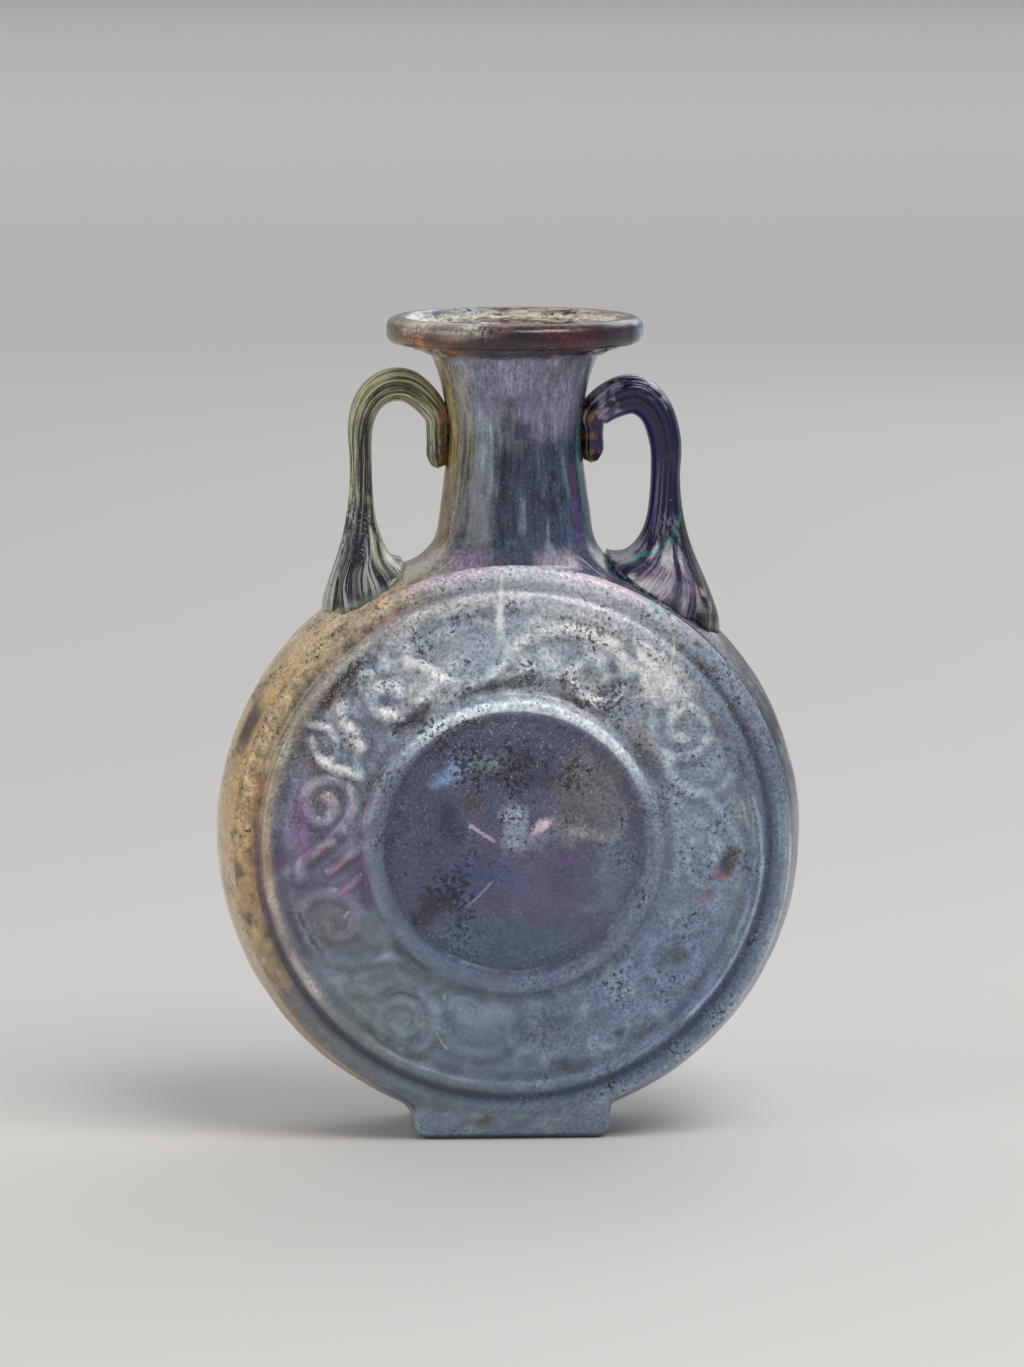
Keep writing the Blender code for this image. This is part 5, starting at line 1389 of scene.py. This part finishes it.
def paint_left_handle(paint, rod):
    """Yellow-green glass with cream stripes and navy lines, darker on its inner side and in its fan."""
    g, along, around, broad = rod.ground, rod.along, rod.around, rod.broad
    outer, fan = rod.outer, rod.fan
    leg = window(along, 0.50, 0.90, 0.05)
    paint.lay((118, 114, 82), np.ones(paint.count))
    paint.lay((78, 84, 66), ease(-1.6 * broad) * 0.6)
    paint.lay((136, 128, 70), outer * (0.5 + 0.4 * broad) * (1.0 - fan))
    inner = leg * window(around, 0.50, 0.78, 0.05)
    paint.lay((20, 28, 40), inner * ease(1.1 + 1.2 * broad) * 0.95)
    paint.lay((150, 140, 98), fan * window(around, 0.93, 1.01, 0.03) * 0.8)
    pool = fan * window(around, 0.66, 0.90, 0.04)
    paint.lay((38, 48, 54), fan * 0.75)
    paint.lay((16, 25, 38), pool * ease(1.0 + 1.4 * broad) * 0.95)
    whorl = window(along, 0.74, 0.955, 0.03) * window(around, 0.50, 0.66, 0.05)
    paint.lay((204, 204, 178), whorl * ease(0.9 + 1.4 * broad) * 0.9)
    paint.lay((20, 54, 62), fan * ease(2.4 * g.mid - 1.2) * 0.7)
    hem = ease((along - 0.985) / 0.010)
    paint.lay((40, 60, 66), hem * 0.85)
    paint.lay((152, 158, 140), ease((along - 0.992) / 0.006) * 0.7)
    tip = ease((0.06 - along) / 0.03)
    paint.lay((70, 52, 34), tip * 0.7)
    paint.lay((40, 110, 108), tip * ease(2.6 * g.small - 0.3) * 0.8)
    paint.lay((150, 98, 36), rod.neck_side * ease(2.0 * g.small + 0.5))
    paint.lay((84, 56, 26), rod.neck_side * ease(-2.4 * g.small + 0.1) * 0.8)
    pale = 1.0 - 0.62 * inner - 0.60 * pool - 0.35 * hem - 0.7 * rod.neck_side
    dark = 0.85 - 0.35 * whorl - 0.5 * rod.neck_side
    ink = mix(tone((206, 202, 168)), tone((214, 216, 206)), fan[:, None])
    return pale + 0.5 * broad, dark - 0.5 * broad, ink


def paint_right_handle(paint, rod):
    """Deep cobalt glass with a silvery bloom on its arch and a lilac one in its fan."""
    g, along, around, broad = rod.ground, rod.along, rod.around, rod.broad
    outer, fan = rod.outer, rod.fan
    ragged = 1.3 * g.mid + 1.2 * g.small + broad
    paint.lay((15, 17, 66), np.ones(paint.count))
    paint.lay((34, 34, 124), window(around, 0.48, 0.62, 0.05) * window(along, 0.10, 0.75, 0.08) * 0.7)
    paint.lay((9, 9, 28), ease(-1.6 * broad) * 0.7)
    silver = outer * window(along, 0.10, 0.40, 0.06) * ease(1.2 * ragged + 0.35)
    paint.lay((168, 174, 190), silver * 0.9)
    bloom = window(around, 0.66, 0.86, 0.05) * window(along, 0.10, 0.34, 0.05) * ease(1.5 * ragged - 0.1)
    paint.lay((166, 156, 182), bloom * ease(2.6 * g.small + 0.6) * 0.70)
    edge = fan * window(around, 0.87, 1.01, 0.03)
    wing = ease((along - 0.82) / 0.05) * window(around, 0.50, 0.63, 0.04)
    paint.lay((108, 102, 132), wing * ease(1.2 * ragged + 0.3) * 0.75)
    heart = fan * window(around, 0.68, 0.82, 0.03)
    paint.lay((128, 112, 150), heart * ease(1.2 * ragged + 0.45) * 0.80)
    paint.lay((186, 130, 188), heart * ease(2.2 * g.mid + 1.2 * broad - 0.6) * 0.50)
    paint.lay((13, 12, 34), edge * 0.9)
    paint.lay((112, 92, 62), edge * ease(3.0 * g.small - 0.8) * 0.45)
    seam = np.interp(along, (0.45, 0.75, 0.93), (0.93, 0.90, 0.62))
    paint.lay((30, 134, 116), window(around - seam, -0.010, 0.010, 0.008) * window(along, 0.46, 0.95, 0.04)
              * ease(1.1 + g.mid) * 0.9)
    paint.lay((16, 18, 52), ease((along - 0.955) / 0.015) * 0.85)
    paint.lay((206, 190, 164), window(along, 0.95, 0.985, 0.012) * window(around, 0.87, 0.92, 0.02)
              * ease(0.2 + 2.4 * g.small + 0.8 * broad) * 0.6)
    paint.lay((122, 94, 54), rod.neck_side * ease(2.0 * g.small + 0.4) * 0.9)
    pale = 0.30 * heart + 0.18 * wing + 0.45 * silver + 0.3 * bloom + 0.20 * broad - 0.03
    dark = 0.45 + 0.35 * heart + 0.3 * wing
    ink = mix(tone((176, 184, 198)), tone((206, 186, 210)), fan[:, None])
    return pale, dark, ink


class Rod:
    """Shares along and round a handle, with the noise of its broad stripes and where it meets the neck."""

    def __init__(self, skin, handle, seed):
        self.ground = Ground(skin, seed)
        self.along, self.around = self.ground.marks.T
        turn = 2.0 * math.pi * self.around + rib_bend(self.along, handle.twist)
        reach = 0.0058 + 0.0060 * ease((self.along - 0.68) / 0.25)
        self.flow = np.column_stack((reach * np.cos(turn), reach * np.sin(turn), 0.0042 * self.along))
        self.broad = cloud(self.flow, 0.0030, seed + 4)
        inward = 1000.0 * NECK_TOP_RADIUS - 0.6 - np.abs(self.ground.x - 1000.0 * NECK_SHIFT)
        self.neck_side = ease(inward / 1.2) * ease((0.4 - self.along) / 0.1)
        self.outer = window(self.around, 0.86, 1.01, 0.05) + window(self.around, -0.01, 0.12, 0.05)
        self.fan = ease((self.along - 0.72) / 0.08)


def paint_handle(skin, handle):
    """Colour and surface marks of a handle's points, in stripes that run along the rod."""
    yellow = handle.side < 0
    rod = Rod(skin, handle, 11 if yellow else 17)
    g = rod.ground
    paint = Paint(len(skin.points))
    pale, dark, ink = paint_left_handle(paint, rod) if yellow else paint_right_handle(paint, rod)
    paint.shade(1.0 + 0.16 * g.small)
    values = {"frost": np.clip((0.15 if yellow else 0.0) + 0.4 * g.mid + 0.3 * rod.neck_side
                               + 0.2 * rod.fan, 0.0, 1.0),
              "grain": np.clip(0.25 + 0.3 * g.mid + 0.3 * rod.neck_side, 0.05, 1.0),
              "pits": np.clip(0.1 + g.mid + 0.4 * rod.neck_side, 0.0, 1.0),
              "drawn": np.full(paint.count, 0.5), "across": np.full(paint.count, 9.0),
              "line": np.zeros(paint.count),
              "pale": np.clip(pale, 0.0, 1.0), "dark": np.clip(dark, 0.0, 1.0), "flow": rod.flow}
    return {"tint": paint.colour, "ink": ink}, values


# Materials

def shader_tree(name):
    """New material with its node tree and its Principled BSDF."""
    material = bpy.data.materials.new(name)
    material.use_nodes = True
    return material, material.node_tree, material.node_tree.nodes["Principled BSDF"]


class Nodes:
    """Short calls for adding the nodes of one tree."""

    def __init__(self, tree):
        self.tree = tree

    def add(self, kind, settings, inputs):
        """Node of a kind, with its settings, and with its inputs as numbers or as links."""
        node = self.tree.nodes.new(kind)
        for name, value in settings.items():
            setattr(node, name, value)
        for name, value in inputs.items():
            if isinstance(value, bpy.types.NodeSocket):
                self.tree.links.new(value, node.inputs[name])
            else:
                node.inputs[name].default_value = value
        return node

    def painted(self, layer, output="Fac"):
        return self.add("ShaderNodeAttribute", {"attribute_name": layer}, {}).outputs[output]

    def speckle(self, place, size, detail, roughness=0.6):
        """Noise whose marks are about so many metres wide."""
        inputs = {"Vector": place, "Scale": 1.0 / size, "Detail": detail, "Roughness": roughness}
        return self.add("ShaderNodeTexNoise", {}, inputs).outputs["Fac"]

    def spread(self, value, low, high, to_low, to_high):
        """Value carried from one range to another and kept inside it."""
        inputs = {"Value": value, "From Min": low, "From Max": high, "To Min": to_low, "To Max": to_high}
        return self.add("ShaderNodeMapRange", {}, inputs).outputs["Result"]

    def times(self, a, b, operation="MULTIPLY"):
        node = self.add("ShaderNodeMath", {"operation": operation}, {0: a, 1: b})
        return node.outputs["Value"]

    def blend(self, factor, under, over, kind="MIX"):
        node = self.add("ShaderNodeMix", {"data_type": "RGBA", "blend_type": kind, "clamp_factor": True},
                        {"Factor": factor})
        for name, value in (("A", under), ("B", over)):
            socket = next(s for s in node.inputs if s.name == name and s.type == "RGBA")
            if isinstance(value, bpy.types.NodeSocket):
                self.tree.links.new(value, socket)
            else:
                socket.default_value = (*value, 1.0)
        return next(s for s in node.outputs if s.type == "RGBA")


def weathered_glass(name, transmission, coat, gloss, dull):
    """Painted glass with fine grain, dark pits, pale flakes and drawn streaks."""
    material, tree, shader = shader_tree(name)
    nodes = Nodes(tree)
    place = nodes.add("ShaderNodeTexCoord", {}, {}).outputs["Object"]
    grain = nodes.speckle(place, 0.0008, 5.0, 0.75)
    fine = nodes.speckle(place, 0.00045, 3.0)
    blots = nodes.speckle(place, 0.0010, 4.0, 0.7)
    flow = nodes.painted("flow", "Vector")
    streak = nodes.speckle(flow, 0.0007, 3.0)
    stripe = nodes.speckle(flow, 0.0009, 4.0, 0.65)
    frost = nodes.painted("frost")
    contrast = nodes.spread(grain, 0.32, 0.68, 0.30, 1.75)
    colour = nodes.blend(nodes.painted("grain"), nodes.painted("tint", "Color"), contrast, "MULTIPLY")
    lines = nodes.spread(streak, 0.3, 0.7, 0.55, 1.5)
    colour = nodes.blend(nodes.painted("drawn"), colour, lines, "MULTIPLY")
    dark = nodes.times(nodes.spread(stripe, 0.42, 0.46, 1.0, 0.0), nodes.painted("dark"))
    colour = nodes.blend(dark, colour, (0.008, 0.011, 0.017))
    pale = nodes.times(nodes.spread(stripe, 0.51, 0.55, 0.0, 1.0), nodes.painted("pale"))
    colour = nodes.blend(pale, colour, nodes.painted("ink", "Color"))
    flaked = nodes.times(fine, nodes.times(frost, 0.16), "ADD")
    flakes = nodes.spread(flaked, 0.66, 0.78, 0.0, 0.7)
    colour = nodes.blend(flakes, colour, (0.62, 0.68, 0.76))
    pitted = nodes.times(blots, nodes.times(nodes.painted("pits"), 0.22), "ADD")
    pits = nodes.spread(pitted, 0.70, 0.76, 0.0, 0.88)
    colour = nodes.blend(pits, colour, (0.012, 0.012, 0.017))
    ragged = nodes.times(nodes.painted("across"), nodes.spread(fine, 0.3, 0.7, -0.8, 0.8), "ADD")
    across = nodes.times(ragged, 0.0, "ABSOLUTE")
    drawn = nodes.times(nodes.spread(across, 0.5, 1.2, 1.0, 0.0), nodes.painted("line"))
    colour = nodes.blend(drawn, colour, nodes.painted("ink", "Color"))
    tree.links.new(colour, shader.inputs["Base Color"])
    worn = nodes.times(nodes.spread(grain, 0.3, 0.7, 0.6, 1.2), frost)
    tree.links.new(nodes.spread(worn, 0.0, 1.0, gloss, dull), shader.inputs["Roughness"])
    relief = nodes.times(nodes.times(grain, nodes.times(pits, -0.7), "ADD"), nodes.times(flakes, 0.4), "ADD")
    bump = nodes.add("ShaderNodeBump", {}, {"Strength": 0.32, "Distance": 0.00022, "Height": relief})
    tree.links.new(bump.outputs["Normal"], shader.inputs["Normal"])
    shader.inputs["Transmission Weight"].default_value = transmission
    shader.inputs["IOR"].default_value = 1.5
    shader.inputs["Coat Weight"].default_value = coat
    shader.inputs["Coat Roughness"].default_value = 0.15
    return material


# The stage

def look_at(thing, target):
    """Turn a light or camera toward a point."""
    thing.rotation_euler = (Vector(target) - thing.location).to_track_quat("-Z", "Y").to_euler()


def add_area_light(name, place, target, size, power, colour):
    light = bpy.data.lights.new(name, "AREA")
    light.shape = "RECTANGLE"
    light.size, light.size_y = size
    light.energy = power
    light.color = colour
    lamp = bpy.data.objects.new(name, light)
    lamp.location = place
    look_at(lamp, target)
    bpy.context.scene.collection.objects.link(lamp)


def add_floor():
    """Pale, flat floor that fills the picture to its top."""
    points = [(x * FLOOR_REACH, y * FLOOR_REACH, 0.0) for x, y in ((-1, -1), (1, -1), (1, 1), (-1, 1))]
    material, _, shader = shader_tree("pale_floor")
    shader.inputs["Base Color"].default_value = (0.62, 0.61, 0.60, 1.0)
    shader.inputs["Roughness"].default_value = 0.7
    data = bpy.data.meshes.new("floor")
    data.from_pydata(points, [], [(0, 1, 2, 3)])
    data.materials.append(material)
    floor = bpy.data.objects.new("floor", data)
    bpy.context.scene.collection.objects.link(floor)


def add_camera():
    """Camera of the photograph's view: its place, its downward tilt and its long lens."""
    camera_data = bpy.data.cameras.new("camera")
    camera_data.lens = CAMERA_LENS
    camera_data.clip_start = 0.05
    camera_data.clip_end = 20.0
    camera = bpy.data.objects.new("camera", camera_data)
    turn = math.radians(CAMERA_AZIMUTH)
    camera.location = (CAMERA_DISTANCE * math.sin(turn), -CAMERA_DISTANCE * math.cos(turn), CAMERA_HEIGHT)
    camera.rotation_euler = (math.radians(90.0 - CAMERA_TILT), 0.0, math.radians(CAMERA_HEADING))
    bpy.context.scene.collection.objects.link(camera)
    bpy.context.scene.camera = camera


CAMERA_AZIMUTH = -3.23
CAMERA_HEADING = -3.258
CAMERA_DISTANCE = 1.5
CAMERA_HEIGHT = 0.2862
CAMERA_TILT = 7.33
CAMERA_LENS = 191.4
FLOOR_REACH = 9.5

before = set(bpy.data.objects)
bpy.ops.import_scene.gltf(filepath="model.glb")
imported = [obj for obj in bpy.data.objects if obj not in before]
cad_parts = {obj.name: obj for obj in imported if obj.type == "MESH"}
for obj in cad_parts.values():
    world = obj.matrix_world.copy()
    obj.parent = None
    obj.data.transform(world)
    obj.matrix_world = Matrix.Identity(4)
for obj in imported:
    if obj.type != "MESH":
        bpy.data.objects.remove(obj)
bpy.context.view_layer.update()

skin = build_body_skin()
colours, values = paint_body(skin)
glass = weathered_glass("body_glass", transmission=0.20, coat=0.25, gloss=0.16, dull=0.52)
body = add_piece("flask_glass", skin.points, skin.faces, glass, colours, values)
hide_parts("flask_body")
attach(body, "root")

for handle, slot in zip(HANDLES, ("handle_glass_yellow_green", "handle_glass_cobalt")):
    skin = build_handle_skin(handle)
    colours, values = paint_handle(skin, handle)
    glass = weathered_glass(slot, transmission=0.20, coat=0.25, gloss=0.12, dull=0.45)
    piece = add_piece(handle.name + "_glass", skin.points, skin.faces, glass, colours, values)
    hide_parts(handle.name)
    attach(piece, "root")

add_floor()
add_camera()
add_area_light("key", (0.5, -0.6, 1.3), (0.0, 0.0, 0.08), (0.9, 0.7), 14.0, (1.0, 0.98, 0.95))
add_area_light("left", (-1.3, -0.7, 0.5), (0.0, 0.0, 0.08), (0.8, 1.0), 6.0, (1.0, 1.0, 1.0))
add_area_light("rear", (0.8, 1.4, 0.9), (0.0, 0.0, 0.08), (1.0, 0.9), 4.0, (1.0, 1.0, 1.0))
add_area_light("far", (0.0, 4.4, 3.0), (0.0, 4.4, 0.0), (9.0, 5.0), 110.0, (1.0, 1.0, 1.0))
world = bpy.data.worlds.new("studio")
world.use_nodes = True
world.node_tree.nodes["Background"].inputs["Color"].default_value = (0.5, 0.5, 0.5, 1.0)
world.node_tree.nodes["Background"].inputs["Strength"].default_value = 0.65
bpy.context.scene.world = world
bpy.context.scene.view_settings.view_transform = "Standard"
